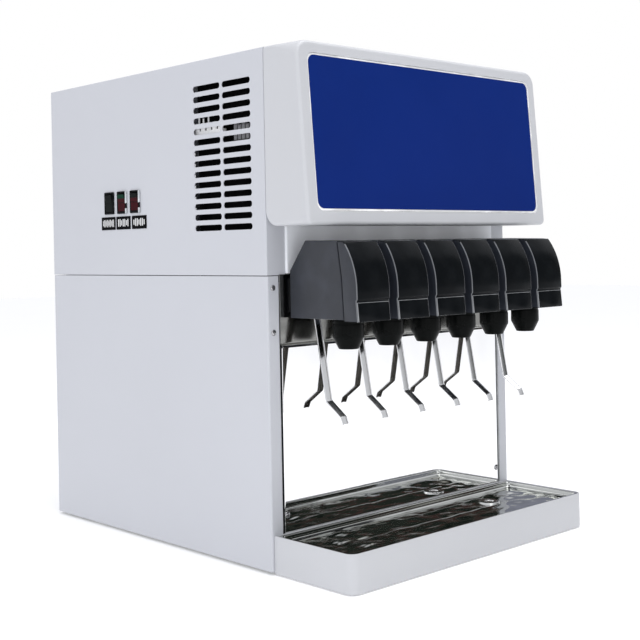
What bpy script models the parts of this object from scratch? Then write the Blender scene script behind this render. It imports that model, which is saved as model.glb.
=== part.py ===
"""Six-valve fountain soda dispenser, modelled as an assembly of separate pieces.

Units are metres and +Z is up.  Every piece hangs from one empty, cabinet_frame, whose origin is the middle of
the cabinet's front plane at the panels' lower edge: X to the right, Y from the front to the back, Z up.
"""
import math

import bmesh
import bpy
from mathutils import Euler, Matrix, Vector

# Driving dimensions
CABINET_WIDTH = 0.500
CABINET_DEPTH = 0.540
CABINET_HEIGHT = 0.690
SEAM_HEIGHT = 0.389
DECK_TOP = 0.3785
TRAY_REACH = 0.145
FOOT_HEIGHT = 0.004
SHEET = 0.0015
GAP = 0.0003
SEAM_GAP = 0.0005

HALF_WIDTH = CABINET_WIDTH / 2
COLUMN_WIDTH = 0.020
UPPER_FLANGE = 0.032
FOLD_RADIUS = 0.0015

HOOD_BOTTOM = 0.454
HOOD_REACH_BOTTOM = 0.0835
HOOD_REACH_TOP = 0.0655
HOOD_RISE = 0.002
HOOD_WALL = 0.0022
HOOD_EDGE_RADIUS = 0.005
HOOD_TOP_CORNER = 0.020
HOOD_BOTTOM_CORNER = 0.009
HOOD_SIDE_RADIUS = 0.004
HOOD_REAR_RADIUS = 0.018
HOOD_REAR = -0.0010
WINDOW_HALF_WIDTH = 0.2325
WINDOW_LOW = 0.4720
WINDOW_HIGH = 0.6775
WINDOW_RADIUS = 0.0115
PANEL_INSET = 0.0010
FRONT_PANEL_PROUD = 0.003

SLOT_ROWS = 14
SLOT_PITCH = 0.015
SLOT_LENGTH = 0.0605
SLOT_HEIGHT = 0.0084
SLOT_RADIUS = 0.0036
SLOT_FIRST_ROW = 0.4553
SLOT_COLUMN_CENTRES = (0.0575, 0.1225)

SWITCH_CENTRES = (0.3687, 0.3340, 0.2993)
SWITCH_HEIGHT = 0.4996
BEZEL_WIDTH = 0.025
BEZEL_HEIGHT = 0.034
BEZEL_PROUD = 0.002
SWITCH_BODY_WIDTH = 0.0220
SWITCH_BODY_HEIGHT = 0.0305
SWITCH_BODY_DEPTH = 0.024
SWITCH_WELL_WIDTH = 0.0196
SWITCH_WELL_HEIGHT = 0.0280
SWITCH_WELL_DEPTH = 0.014
ROCKER_WIDTH = 0.0190
ROCKER_HALF_HEIGHT = 0.0130
ROCKER_PIVOT_DEPTH = 0.004
ROCKER_TILT = math.radians(6)
ROCKER_DISH = 0.0012

VALVE_COUNT = 6
VALVE_PITCH = 0.075
VALVE_WIDTH = 0.060
VALVE_BOTTOM = 0.3325
COVER_BOTTOM = 0.3302
VALVE_TOP = 0.4330
VALVE_EDGE_RADIUS = 0.0016
NOZZLE_REACH = 0.087
NOZZLE_BOTTOM = 0.2935
NOZZLE_RADIUS = 0.0208
NOZZLE_SHOULDER = 0.3085
NOZZLE_MOUTH_RADIUS = 0.0132
LEVER_PIVOT = (-0.0267, 0.3395)
LEVER_WIDTH = 0.0115
LEVER_THICKNESS = 0.0020

PLATE_BOTTOM = 0.2975
PLATE_PROUD = 0.0020

TRAY_HALF_WIDTH = 0.246
TRAY_TOP = 0.0475
TRAY_BOTTOM = -0.0032
TRAY_WALL = 0.0020
TRAY_CORNER_RADIUS = 0.014
PAN_SHEET = 0.0010
PAN_RIM = 0.005
PAN_FLOOR = 0.0380

DRAIN_OFFSET = 0.134
DRAIN_REACH = 0.055
DRAIN_BORE_RADIUS = 0.0070
DRAIN_TUBE_RADIUS = 0.0090
DRAIN_FLANGE_RADIUS = 0.0160

INLET_CENTRE = (0.170, 0.070)
INLET_BODY_WIDTH = 0.022
INLET_BODY_HEIGHT = 0.034
INLET_PROUD = 0.0032

FOOT_RADIUS = 0.016
FOOT_HALF_SPREAD = 0.215
FOOT_ROWS = (0.040, 0.500)

FAN_CENTRE = (-0.176, 0.0900, 0.5400)
FAN_RADIUS = 0.058
FAN_BLADES = 5
FAN_BLADE_ANGLE = math.radians(28)

BATH_LOW = (-0.225, 0.030, 0.0018)
BATH_HIGH = (0.225, 0.505, 0.372)
BATH_WALL = 0.014
BATH_FLOOR = 0.016
COIL_TURNS = 4
COIL_PITCH = 0.040
COIL_HALF_SIZE = (0.175, 0.185)
COIL_TUBE_RADIUS = 0.0048
TANK_CENTRE = (-0.060, 0.270)
TANK_RADIUS = 0.052
TANK_HEIGHT = 0.220
TANK_WALL = 0.002
TANK_PORT_RADIUS = 0.008
AGITATOR_CENTRE = (0.055, 0.270)
AGITATOR_BLADES = 3
COMPRESSOR_CENTRE = (0.120, 0.390, 0.4680)
COMPRESSOR_RADIUS = 0.075
CONDENSER_LOW = (-0.238, 0.022)
CONDENSER_HIGH = (-0.206, 0.158)
CONDENSER_TOP = 0.664

# The rockers stand out of the left side and the inlet out of the back, and the frame moves by half of each.
ROCKER_REACH = (ROCKER_HALF_HEIGHT * math.sin(ROCKER_TILT) + ROCKER_DISH * math.cos(ROCKER_TILT)
                + ROCKER_PIVOT_DEPTH * (math.cos(ROCKER_TILT) - 1))
SIDE_OVERHANG = GAP + BEZEL_PROUD + ROCKER_REACH

COLOURS = {
    # name: (red, green, blue, roughness, metallic)
    "white_enamel": (0.74, 0.75, 0.78, 0.42, 0.0),
    "stainless": (0.62, 0.62, 0.61, 0.12, 1.0),
    "brushed_steel": (0.55, 0.55, 0.54, 0.32, 1.0),
    "galvanised": (0.48, 0.50, 0.51, 0.45, 1.0),
    "black_gloss": (0.012, 0.013, 0.016, 0.22, 0.0),
    "black_satin": (0.030, 0.031, 0.034, 0.45, 0.0),
    "rubber": (0.018, 0.018, 0.018, 0.85, 0.0),
    "blue_panel": (0.010, 0.035, 0.170, 0.18, 0.0),
    "lamp_white": (0.85, 0.85, 0.82, 0.35, 0.0),
    "aluminium": (0.60, 0.61, 0.62, 0.40, 1.0),
    "copper": (0.70, 0.34, 0.20, 0.30, 1.0),
    "insulation": (0.55, 0.53, 0.48, 0.80, 0.0),
    "compressor_black": (0.020, 0.021, 0.023, 0.38, 0.0),
}

FLAT_TO_SIDE = Matrix(((0, 0, 1, 0), (1, 0, 0, 0), (0, 1, 0, 0), (0, 0, 0, 1)))
FLAT_TO_PLAN = Matrix.Identity(4)
FLAT_TO_FRONT = Matrix(((1, 0, 0, 0), (0, 0, 1, 0), (0, 1, 0, 0), (0, 0, 0, 1)))


# Scene, collections and materials

def clear_scene():
    for item in list(bpy.data.objects):
        bpy.data.objects.remove(item, do_unlink=True)


def make_collection(name):
    group = bpy.data.collections.new(name)
    bpy.context.scene.collection.children.link(group)
    return group


def make_materials():
    made = {}
    for name, (red, green, blue, roughness, metallic) in COLOURS.items():
        material = bpy.data.materials.new(name)
        material.use_nodes = True
        shader = material.node_tree.nodes["Principled BSDF"]
        shader.inputs["Base Color"].default_value = (red, green, blue, 1)
        shader.inputs["Roughness"].default_value = roughness
        shader.inputs["Metallic"].default_value = metallic
        made[name] = material
    return made


clear_scene()
PARTS = make_collection("fountain_soda_dispenser")
CUTTERS = make_collection("cutters")
MATERIALS = make_materials()

FRAME = bpy.data.objects.new("cabinet_frame", None)
FRAME.location = (SIDE_OVERHANG / 2, (TRAY_REACH - CABINET_DEPTH - INLET_PROUD) / 2, FOOT_HEIGHT)
PARTS.objects.link(FRAME)


# Making objects

def add_object(name, mesh, material, origin=(0, 0, 0), group=None):
    """Link a mesh as an object that hangs from the cabinet frame."""
    item = bpy.data.objects.new(name, mesh)
    (group or PARTS).objects.link(item)
    item.parent = FRAME
    item.location = origin
    if material:
        mesh.materials.append(MATERIALS[material])
    return item


def mesh_from(bm, name):
    bmesh.ops.recalc_face_normals(bm, faces=bm.faces)
    mesh = bpy.data.meshes.new(name)
    bm.to_mesh(mesh)
    bm.free()
    return mesh


def box_bmesh(low, high):
    low, high = Vector(low), Vector(high)
    bm = bmesh.new()
    bmesh.ops.create_cube(bm, size=1)
    size = high - low
    bmesh.ops.scale(bm, vec=size, verts=bm.verts)
    bmesh.ops.translate(bm, vec=(low + high) / 2, verts=bm.verts)
    return bm


def bevel_edges(bm, chosen, radius, segments):
    """Round the edges for which chosen(middle, direction) is true."""
    edges = []
    for edge in bm.edges:
        first, second = edge.verts[0].co, edge.verts[1].co
        if chosen((first + second) / 2, (second - first).normalized()):
            edges.append(edge)
    bmesh.ops.bevel(bm, geom=edges, offset=radius, segments=segments, profile=0.5, affect="EDGES")


def box(name, low, high, material, origin=(0, 0, 0), radius=0, segments=2, chosen=None):
    bm = box_bmesh(low, high)
    if radius:
        bevel_edges(bm, chosen or (lambda middle, direction: True), radius, segments)
    return add_object(name, mesh_from(bm, name), material, origin)


def cylinder(name, centre, axis, radius, length, material, sides=24, bevel=0):
    """A round bar centred on a point."""
    bm = bmesh.new()
    bmesh.ops.create_cone(bm, cap_ends=True, segments=sides, radius1=radius, radius2=radius, depth=length)
    if bevel:
        bevel_edges(bm, lambda middle, direction: abs(direction.z) < 0.5, bevel, 2)
    turn = Vector((0, 0, 1)).rotation_difference(Vector(axis)).to_matrix()
    bmesh.ops.rotate(bm, matrix=turn, verts=bm.verts)
    return add_object(name, mesh_from(bm, name), material, centre)


def shade_round(item, angle=35):
    """Smooth shading, with the edges above this angle left sharp."""
    item.data.shade_smooth()
    item.data.set_sharp_from_angle(angle=math.radians(angle))


def outline_solid(name, outlines, thickness, material, matrix=FLAT_TO_PLAN, origin=(0, 0, 0), group=None):
    """Extrude flat outlines (the first is the edge, the others are holes) to a mesh, centred on their plane."""
    curve = bpy.data.curves.new(name, "CURVE")
    curve.dimensions = "2D"
    curve.fill_mode = "BOTH"
    curve.extrude = thickness / 2
    for outline in outlines:
        spline = curve.splines.new("POLY")
        spline.points.add(len(outline) - 1)
        for point, (u, v) in zip(spline.points, outline):
            point.co = (u, v, 0, 1)
        spline.use_cyclic_u = True
    drawn = bpy.data.objects.new(name + "_outline", curve)
    bpy.context.scene.collection.objects.link(drawn)
    evaluated = drawn.evaluated_get(bpy.context.evaluated_depsgraph_get())
    mesh = bpy.data.meshes.new_from_object(evaluated)
    bpy.data.objects.remove(drawn, do_unlink=True)
    bpy.data.curves.remove(curve)
    bm = bmesh.new()
    bm.from_mesh(mesh)
    bmesh.ops.remove_doubles(bm, verts=bm.verts, dist=1e-6)
    bmesh.ops.transform(bm, matrix=matrix, verts=bm.verts)
    bpy.data.meshes.remove(mesh)
    return add_object(name, mesh_from(bm, name), material, origin, group)


def turned(name, profile, origin, material, sides=24):
    """Turn a profile of (radius, height) points about the vertical axis: a ring unless it starts on the axis."""
    bm = bmesh.new()
    verts = [bm.verts.new((radius, 0, height)) for radius, height in profile]
    on_axis = profile[0][0] == 0
    following = verts[1:] if on_axis else verts[1:] + verts[:1]
    for first, second in zip(verts, following):
        bm.edges.new((first, second))
    mesh = bpy.data.meshes.new(name)
    bm.to_mesh(mesh)
    bm.free()
    item = add_object(name, mesh, material, origin)
    screw = item.modifiers.new("turn", "SCREW")
    screw.steps = sides
    screw.render_steps = sides
    screw.use_merge_vertices = True
    screw.merge_threshold = 1e-5
    screw.use_smooth_shade = True
    return item


def apply_modifiers(item):
    """Bake a piece's modifiers into its mesh."""
    evaluated = item.evaluated_get(bpy.context.evaluated_depsgraph_get())
    mesh = bpy.data.meshes.new_from_object(evaluated)
    item.modifiers.clear()
    item.data = mesh


def boolean(item, other, operation):
    """Cut or join with another object, which becomes a hidden cutter."""
    if other.name not in CUTTERS.objects:
        CUTTERS.objects.link(other)
        PARTS.objects.unlink(other)
    other.hide_render = True
    other.display_type = "WIRE"
    step = item.modifiers.new(operation.lower(), "BOOLEAN")
    step.operation = operation
    step.object = other
    step.solver = "EXACT"


def cut(item, other):
    boolean(item, other, "DIFFERENCE")


def join(item, other):
    boolean(item, other, "UNION")


# Outlines

def arc(centre, radius, start, end, steps):
    """Points on a circle, from one angle to another in degrees."""
    points = []
    for step in range(steps + 1):
        angle = math.radians(start + (end - start) * step / steps)
        points.append((centre[0] + radius * math.cos(angle), centre[1] + radius * math.sin(angle)))
    return points


def rounded_rectangle(low, high, radius, steps=3):
    (left, bottom), (right, top) = low, high
    points = arc((right - radius, bottom + radius), radius, -90, 0, steps)
    points += arc((right - radius, top - radius), radius, 0, 90, steps)
    points += arc((left + radius, top - radius), radius, 90, 180, steps)
    points += arc((left + radius, bottom + radius), radius, 180, 270, steps)
    return points


def arc_through(first, middle, last, steps):
    """Points along the circular arc through three points."""
    ax, ay = first
    bx, by = middle
    cx, cy = last
    twice = 2 * (ax * (by - cy) + bx * (cy - ay) + cx * (ay - by))
    sa, sb, sc = ax * ax + ay * ay, bx * bx + by * by, cx * cx + cy * cy
    centre = ((sa * (by - cy) + sb * (cy - ay) + sc * (ay - by)) / twice,
              (sa * (cx - bx) + sb * (ax - cx) + sc * (bx - ax)) / twice)
    radius = math.dist(centre, first)
    start = math.degrees(math.atan2(ay - centre[1], ax - centre[0]))
    end = math.degrees(math.atan2(cy - centre[1], cx - centre[0]))
    if end - start > 180:
        end -= 360
    if start - end > 180:
        end += 360
    return arc(centre, radius, start, end, steps)


def bent_strip(path, thickness, radius, steps=3):
    """Outline of a sheet folded along a centre line, with rounded bends of this centre-line radius."""
    nodes = [Vector(point) for point in path]
    stations = []

    def station(point, normal):
        stations.append((point, normal.normalized()))

    def left_of(direction):
        return Vector((-direction.y, direction.x))

    station(nodes[0], left_of(nodes[1] - nodes[0]))
    for before, here, after in zip(nodes, nodes[1:], nodes[2:]):
        back = (before - here).normalized()
        ahead = (after - here).normalized()
        half_angle = back.angle(ahead) / 2
        centre = here + (back + ahead).normalized() * radius / math.sin(half_angle)
        start = here + back * (radius / math.tan(half_angle)) - centre
        turn = math.pi - 2 * half_angle
        turns_left = (-back).cross(ahead) > 0
        for step in range(steps + 1):
            angle = turn * step / steps * (1 if turns_left else -1)
            spoke = Matrix.Rotation(angle, 2) @ start
            station(centre + spoke, -spoke if turns_left else spoke)
    station(nodes[-1], left_of(nodes[-1] - nodes[-2]))
    left = [tuple(point + normal * thickness / 2) for point, normal in stations]
    right = [tuple(point - normal * thickness / 2) for point, normal in stations]
    return left + right[::-1]


def mirror_x(points, side):
    """Flip an outline to the right-hand side when side is 1."""
    return [(-side * u, v) for u, v in points]


# Lower cabinet

def lower_side_panel(name, side):
    """Side panel folded round to the front column and to a rear flange."""
    middle = SHEET / 2
    path = [(-HALF_WIDTH + COLUMN_WIDTH, middle), (-HALF_WIDTH + middle, middle),
            (-HALF_WIDTH + middle, CABINET_DEPTH - middle), (-HALF_WIDTH + COLUMN_WIDTH, CABINET_DEPTH - middle)]
    outline = bent_strip(path, SHEET, 0.0024)
    height = SEAM_HEIGHT - SEAM_GAP
    outline_solid(name, [mirror_x(outline, side)], height, "white_enamel", origin=(0, 0, height / 2))


def lower_cabinet():
    lower_side_panel("left_side_panel", -1)
    lower_side_panel("right_side_panel", 1)

    inner = HALF_WIDTH - SHEET - GAP
    front = SHEET + GAP
    back = CABINET_DEPTH - SHEET - GAP
    pan = box("base_pan", (-inner, front, 0), (inner, back, 0.030), "galvanised", radius=0.003, segments=3,
              chosen=lambda middle, direction: abs(direction.z) > 0.9)
    wall = 0.0015
    cut(pan, box("base_pan_inside", (-inner + wall, front + wall, wall), (inner - wall, back - wall, 0.05), None))

    edge = HALF_WIDTH - COLUMN_WIDTH - GAP
    low, high = 0.0305, SEAM_HEIGHT - SEAM_GAP
    panel = rounded_rectangle((-edge, low), (edge, high), 0.002, 1)
    lines = rounded_rectangle((-0.055, 0.040), (0.055, 0.090), 0.010, 3)
    x, z = INLET_CENTRE
    half_width, half_height = INLET_BODY_WIDTH / 2 + SEAM_GAP, INLET_BODY_HEIGHT / 2 + SEAM_GAP
    socket = rounded_rectangle((x - half_width, z - half_height), (x + half_width, z + half_height), 0.0005, 1)
    outline_solid("lower_rear_panel", [panel, lines, socket], SHEET, "white_enamel", FLAT_TO_FRONT,
                  origin=(0, CABINET_DEPTH - SHEET / 2, 0))

    deck = rounded_rectangle((-inner, front), (inner, back), 0.004, 2)
    shaft_hole = arc((0.055, 0.270), 0.012, 0, 345, 23)
    thickness = 0.002
    outline_solid("refrigeration_deck", [deck, shaft_hole], thickness, "galvanised",
                  origin=(0, 0, DECK_TOP - thickness / 2))

    for row, depth in zip(("front", "rear"), FOOT_ROWS):
        for hand, side in (("left", -1), ("right", 1)):
            height = FOOT_HEIGHT - GAP
            cylinder("foot_%s_%s" % (row, hand), (side * FOOT_HALF_SPREAD, depth, -GAP - height / 2), (0, 0, 1),
                     FOOT_RADIUS, height, "rubber", sides=16)


def power_inlet():
    """Appliance inlet in the lower rear panel, with a blind socket."""
    centre = (INLET_CENTRE[0], CABINET_DEPTH, INLET_CENTRE[1])
    half_width, half_height = INLET_BODY_WIDTH / 2, INLET_BODY_HEIGHT / 2
    rim = 0.003
    flange = box("power_inlet", (-half_width - rim, GAP, -half_height - rim),
                 (half_width + rim, INLET_PROUD, half_height + rim), "black_satin", centre, 0.0010, 2)
    join(flange, box("power_inlet_body", (-half_width, -0.0200, -half_height), (half_width, 0.0012, half_height),
                     None, centre))
    wall = 0.0025
    cut(flange, box("power_inlet_socket", (-half_width + wall, -0.0170, -half_height + wall),
                    (half_width - wall, 0.0050, half_height - wall), None, centre))


# Upper cabinet

def vent_cutter(name, side):
    """All the air slots of one side as one cutter."""
    slots = None
    for column, depth in enumerate(SLOT_COLUMN_CENTRES):
        for row in range(SLOT_ROWS):
            height = SLOT_FIRST_ROW + row * SLOT_PITCH
            low = (depth - SLOT_LENGTH / 2, height - SLOT_HEIGHT / 2)
            high = (depth + SLOT_LENGTH / 2, height + SLOT_HEIGHT / 2)
            slot = outline_solid("%s_%d_%d" % (name, column, row), [rounded_rectangle(low, high, SLOT_RADIUS, 1)],
                                 0.010, None, FLAT_TO_SIDE, origin=(side * HALF_WIDTH, 0, 0), group=CUTTERS)
            bm = bmesh.new()
            if slots:
                bm.from_mesh(slots.data)
            bm.from_mesh(slot.data)
            bm.to_mesh(slot.data)
            bm.free()
            if slots:
                bpy.data.objects.remove(slots, do_unlink=True)
            slots = slot
    slots.name = name
    return slots


def upper_shroud():
    """Two sides and the top folded from one sheet, with front and rear flanges, air slots and switch holes."""
    low = SEAM_HEIGHT + SEAM_GAP

    def outer_fold(middle, direction):
        vertical = abs(direction.z) > 0.9
        along_top_side = abs(direction.y) > 0.9 and middle.z > 0.6
        return vertical or along_top_side

    shroud = box("upper_shroud", (-HALF_WIDTH, 0, low), (HALF_WIDTH, CABINET_DEPTH, CABINET_HEIGHT), "white_enamel",
                 radius=FOLD_RADIUS, segments=2, chosen=outer_fold)
    inside = box("shroud_inside", (-HALF_WIDTH + SHEET, SHEET, low - 0.05),
                 (HALF_WIDTH - SHEET, CABINET_DEPTH - SHEET, CABINET_HEIGHT - SHEET), None)
    cut(shroud, inside)
    edge = HALF_WIDTH - UPPER_FLANGE
    cut(shroud, box("shroud_front_window", (-edge, -0.01, low - 0.02), (edge, 0.01, 0.664), None))
    rear = HALF_WIDTH - COLUMN_WIDTH
    cut(shroud, box("shroud_rear_window", (-rear, CABINET_DEPTH - 0.01, low - 0.02),
                    (rear, CABINET_DEPTH + 0.01, 0.668), None))
    for name, side in (("left_air_slots", -1), ("right_air_slots", 1)):
        cut(shroud, vent_cutter(name, side))
    for number, depth in enumerate(SWITCH_CENTRES, 1):
        half_width = SWITCH_BODY_WIDTH / 2 + GAP
        half_height = SWITCH_BODY_HEIGHT / 2 + GAP
        cut(shroud, box("switch_hole_%d" % number, (-0.01, -half_width, -half_height),
                        (0.01, half_width, half_height), None, (-HALF_WIDTH, depth, SWITCH_HEIGHT)))


def upper_panels():
    edge = HALF_WIDTH - UPPER_FLANGE - SEAM_GAP
    face = -FRONT_PANEL_PROUD + SHEET / 2
    path = [(-edge + SHEET / 2, 0.012), (-edge + SHEET / 2, face), (edge - SHEET / 2, face),
            (edge - SHEET / 2, 0.012)]
    low, high = SEAM_HEIGHT + 0.0025, 0.6635
    outline_solid("upper_front_panel", [bent_strip(path, SHEET, 0.0016, 2)], high - low, "white_enamel",
                  origin=(0, 0, (low + high) / 2))

    edge = HALF_WIDTH - COLUMN_WIDTH - GAP
    panel = rounded_rectangle((-edge, SEAM_HEIGHT + SEAM_GAP), (edge, 0.6677), 0.002, 1)
    louvres = []
    for column in (-1, 0, 1):
        for row in range(6):
            middle, height = column * 0.120, 0.500 + row * 0.020
            louvres.append(rounded_rectangle((middle - 0.045, height - 0.0035), (middle + 0.045, height + 0.0035),
                                             0.0030, 1))
    outline_solid("upper_rear_panel", [panel] + louvres, SHEET, "white_enamel", FLAT_TO_FRONT,
                  origin=(0, CABINET_DEPTH - SHEET / 2, 0))


# Front: mounting plate, backsplash

def front_plates():
    edge = HALF_WIDTH - COLUMN_WIDTH - SEAM_GAP
    face = -PLATE_PROUD + SHEET / 2
    foot = PLATE_BOTTOM + SHEET / 2
    path = [(0.010, foot), (face, foot), (face, SEAM_HEIGHT + 0.0015)]
    outline_solid("valve_mounting_plate", [bent_strip(path, SHEET, 0.0016, 2)], 2 * edge, "brushed_steel",
                  FLAT_TO_SIDE)
    outline = rounded_rectangle((-edge, 0.0305), (edge, PLATE_BOTTOM - SEAM_GAP), 0.001, 1)
    outline_solid("backsplash", [outline], SHEET, "stainless", FLAT_TO_FRONT,
                  origin=(0, 0.0005 + SHEET / 2, 0))


# Drip tray

def tray_outline(inset):
    """Plan of the tray: square at the cabinet, rounded corners at the front."""
    half = TRAY_HALF_WIDTH - inset
    front = -TRAY_REACH + inset
    back = -GAP - inset
    radius = TRAY_CORNER_RADIUS - inset
    points = [(half, back), (-half, back)]
    points += arc((-half + radius, front + radius), radius, 180, 270, 5)
    points += arc((half - radius, front + radius), radius, 270, 360, 5)
    return points


def drip_tray():
    height = TRAY_TOP - TRAY_BOTTOM
    surround = outline_solid("drip_tray_surround", [tray_outline(0)], height, "white_enamel",
                             origin=(0, 0, (TRAY_TOP + TRAY_BOTTOM) / 2))
    cut(surround, outline_solid("tray_inside", [tray_outline(TRAY_WALL)], height, None,
                                origin=(0, 0, (TRAY_TOP + TRAY_BOTTOM) / 2 + TRAY_WALL)))
    cut(surround, cylinder("tray_drain_hole", (DRAIN_OFFSET, -DRAIN_REACH, TRAY_BOTTOM), (0, 0, 1),
                           DRAIN_TUBE_RADIUS + 0.003, 0.02, None))

    rim = TRAY_WALL + SEAM_GAP
    wall = rim + PAN_RIM
    rim_top = TRAY_TOP - 0.0008
    pan = outline_solid("drip_pan", [tray_outline(rim)], PAN_SHEET, "stainless",
                        origin=(0, 0, rim_top - PAN_SHEET / 2))
    depth = rim_top - PAN_FLOOR + PAN_SHEET
    join(pan, outline_solid("pan_wall_outside", [tray_outline(wall)], depth, None,
                            origin=(0, 0, rim_top - depth / 2 - 0.0001)))
    cut(pan, outline_solid("pan_wall_inside", [tray_outline(wall + PAN_SHEET)], depth, None,
                           origin=(0, 0, PAN_FLOOR + depth / 2)))
    cut(pan, cylinder("pan_drain_hole", (DRAIN_OFFSET, -DRAIN_REACH, PAN_FLOOR), (0, 0, 1),
                      DRAIN_TUBE_RADIUS + GAP, 0.01, None))

    flange_low = PAN_FLOOR + GAP
    profile = [(DRAIN_BORE_RADIUS, flange_low + 0.0014), (DRAIN_FLANGE_RADIUS - 0.001, flange_low + 0.0014),
               (DRAIN_FLANGE_RADIUS, flange_low), (DRAIN_TUBE_RADIUS, flange_low), (DRAIN_TUBE_RADIUS, -0.0005),
               (DRAIN_BORE_RADIUS, -0.0005)]
    turned("drain_fitting", profile, (DRAIN_OFFSET, -DRAIN_REACH, 0), "stainless")


# Hood

def hood_front_matrix():
    """Places a flat outline on the hood's leaning front face: U along X, V up the face, thickness outwards."""
    lean = math.atan2(HOOD_REACH_BOTTOM - HOOD_REACH_TOP, CABINET_HEIGHT - HOOD_BOTTOM)
    turn = Euler((math.pi / 2 - lean, 0, 0)).to_matrix().to_4x4()
    return Matrix.Translation((0, -HOOD_REACH_BOTTOM, HOOD_BOTTOM)) @ turn


def hood_outline(inset, low, high, low_radius, high_radius, steps=5):
    """Outline of the hood seen from the front, with its own radii for the lower and upper corners."""
    half = HALF_WIDTH - inset
    points = arc((half - low_radius, low + low_radius), low_radius, -90, 0, steps)
    points += arc((half - high_radius, high - high_radius), high_radius, 0, 90, steps)
    points += arc((high_radius - half, high - high_radius), high_radius, 90, 180, steps)
    return points + arc((low_radius - half, low + low_radius), low_radius, 180, 270, steps)


def hood_solid(name, inset, rear, material):
    """The hood's outside, or its inside when inset: outlines from the leaning front to the rounded rear."""
    slope = (HOOD_REACH_BOTTOM - HOOD_REACH_TOP) / (CABINET_HEIGHT - HOOD_BOTTOM)
    low, top = HOOD_BOTTOM + inset, CABINET_HEIGHT - inset
    radius = HOOD_EDGE_RADIUS - inset
    rings = []
    for step in range(4):
        angle = math.radians(30 * step)
        shrink, depth = radius * (1 - math.sin(angle)), radius * (1 - math.cos(angle))
        points = hood_outline(inset + shrink, low + shrink, top + HOOD_RISE - shrink,
                              HOOD_BOTTOM_CORNER - inset - shrink, HOOD_TOP_CORNER - inset - shrink)
        rings.append([(x, -HOOD_REACH_BOTTOM + slope * (z - HOOD_BOTTOM) + inset + depth, z) for x, z in points])
    radius = HOOD_REAR_RADIUS - inset
    corner = HOOD_SIDE_RADIUS - inset
    for step in range(6):
        angle = math.radians(18 * step)
        points = hood_outline(inset, low + radius * (1 - math.cos(angle)), top, corner, corner)
        rings.append([(x, rear - radius * (1 - math.sin(angle)), z) for x, z in points])
    bm = bmesh.new()
    rings = [[bm.verts.new(point) for point in ring] for ring in rings]
    bm.faces.new(rings[0])
    bm.faces.new(rings[-1])
    for ring, following in zip(rings, rings[1:]):
        for index in range(len(ring)):
            after = (index + 1) % len(ring)
            bm.faces.new((ring[index], ring[after], following[after], following[index]))
    return add_object(name, mesh_from(bm, name), material)


def hood():
    shell = hood_solid("hood_shell", 0, HOOD_REAR, "white_enamel")
    cut(shell, hood_solid("hood_inside", HOOD_WALL, HOOD_REAR - HOOD_WALL, None))
    edge = HALF_WIDTH - UPPER_FLANGE
    cut(shell, box("hood_rear_opening", (-edge, -FRONT_PANEL_PROUD - GAP, HOOD_BOTTOM - 0.01), (edge, 0.01, 0.684),
                   None))

    window = rounded_rectangle((-WINDOW_HALF_WIDTH, WINDOW_LOW - HOOD_BOTTOM),
                               (WINDOW_HALF_WIDTH, WINDOW_HIGH - HOOD_BOTTOM), WINDOW_RADIUS, 4)
    matrix = hood_front_matrix()
    cut(shell, outline_solid("hood_window", [window], 0.030, None, matrix))

    play = 0.0005
    panel = rounded_rectangle((-WINDOW_HALF_WIDTH + play, WINDOW_LOW - HOOD_BOTTOM + play),
                              (WINDOW_HALF_WIDTH - play, WINDOW_HIGH - HOOD_BOTTOM - play),
                              WINDOW_RADIUS - play, 4)
    thickness = 0.003
    inwards = Matrix.Translation((0, 0, -PANEL_INSET - thickness / 2))
    outline_solid("lightbox_panel", [panel], thickness, "blue_panel", matrix @ inwards)

    high = CABINET_HEIGHT - HOOD_WALL - GAP
    box("led_light_bar", (-0.205, -0.034, high - 0.018), (0.205, -0.012, high), "lamp_white", radius=0.003)


# Valves

def cover_face():
    """Front edge of the valve cover, from its top down to its foot."""
    curve = arc_through((-0.1115, VALVE_TOP - 0.001), (-0.1272, 0.4050), (-0.1338, 0.3700), 7)
    return curve + [(-0.1340, 0.3602), (-0.1324, 0.3577), (-0.1322, 0.3562), (-0.1346, COVER_BOTTOM)]


def seam_line():
    """The parting line between the valve body and its cover, from top to bottom."""
    return [(-0.0984, VALVE_TOP), (-0.1054, 0.3860), (-0.1088, VALVE_BOTTOM)]


def soften(item, width, segments=2):
    rounding = item.modifiers.new("edges", "BEVEL")
    rounding.width = width
    rounding.segments = segments
    rounding.limit_method = "ANGLE"
    rounding.angle_limit = math.radians(40)
    apply_modifiers(item)


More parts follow.
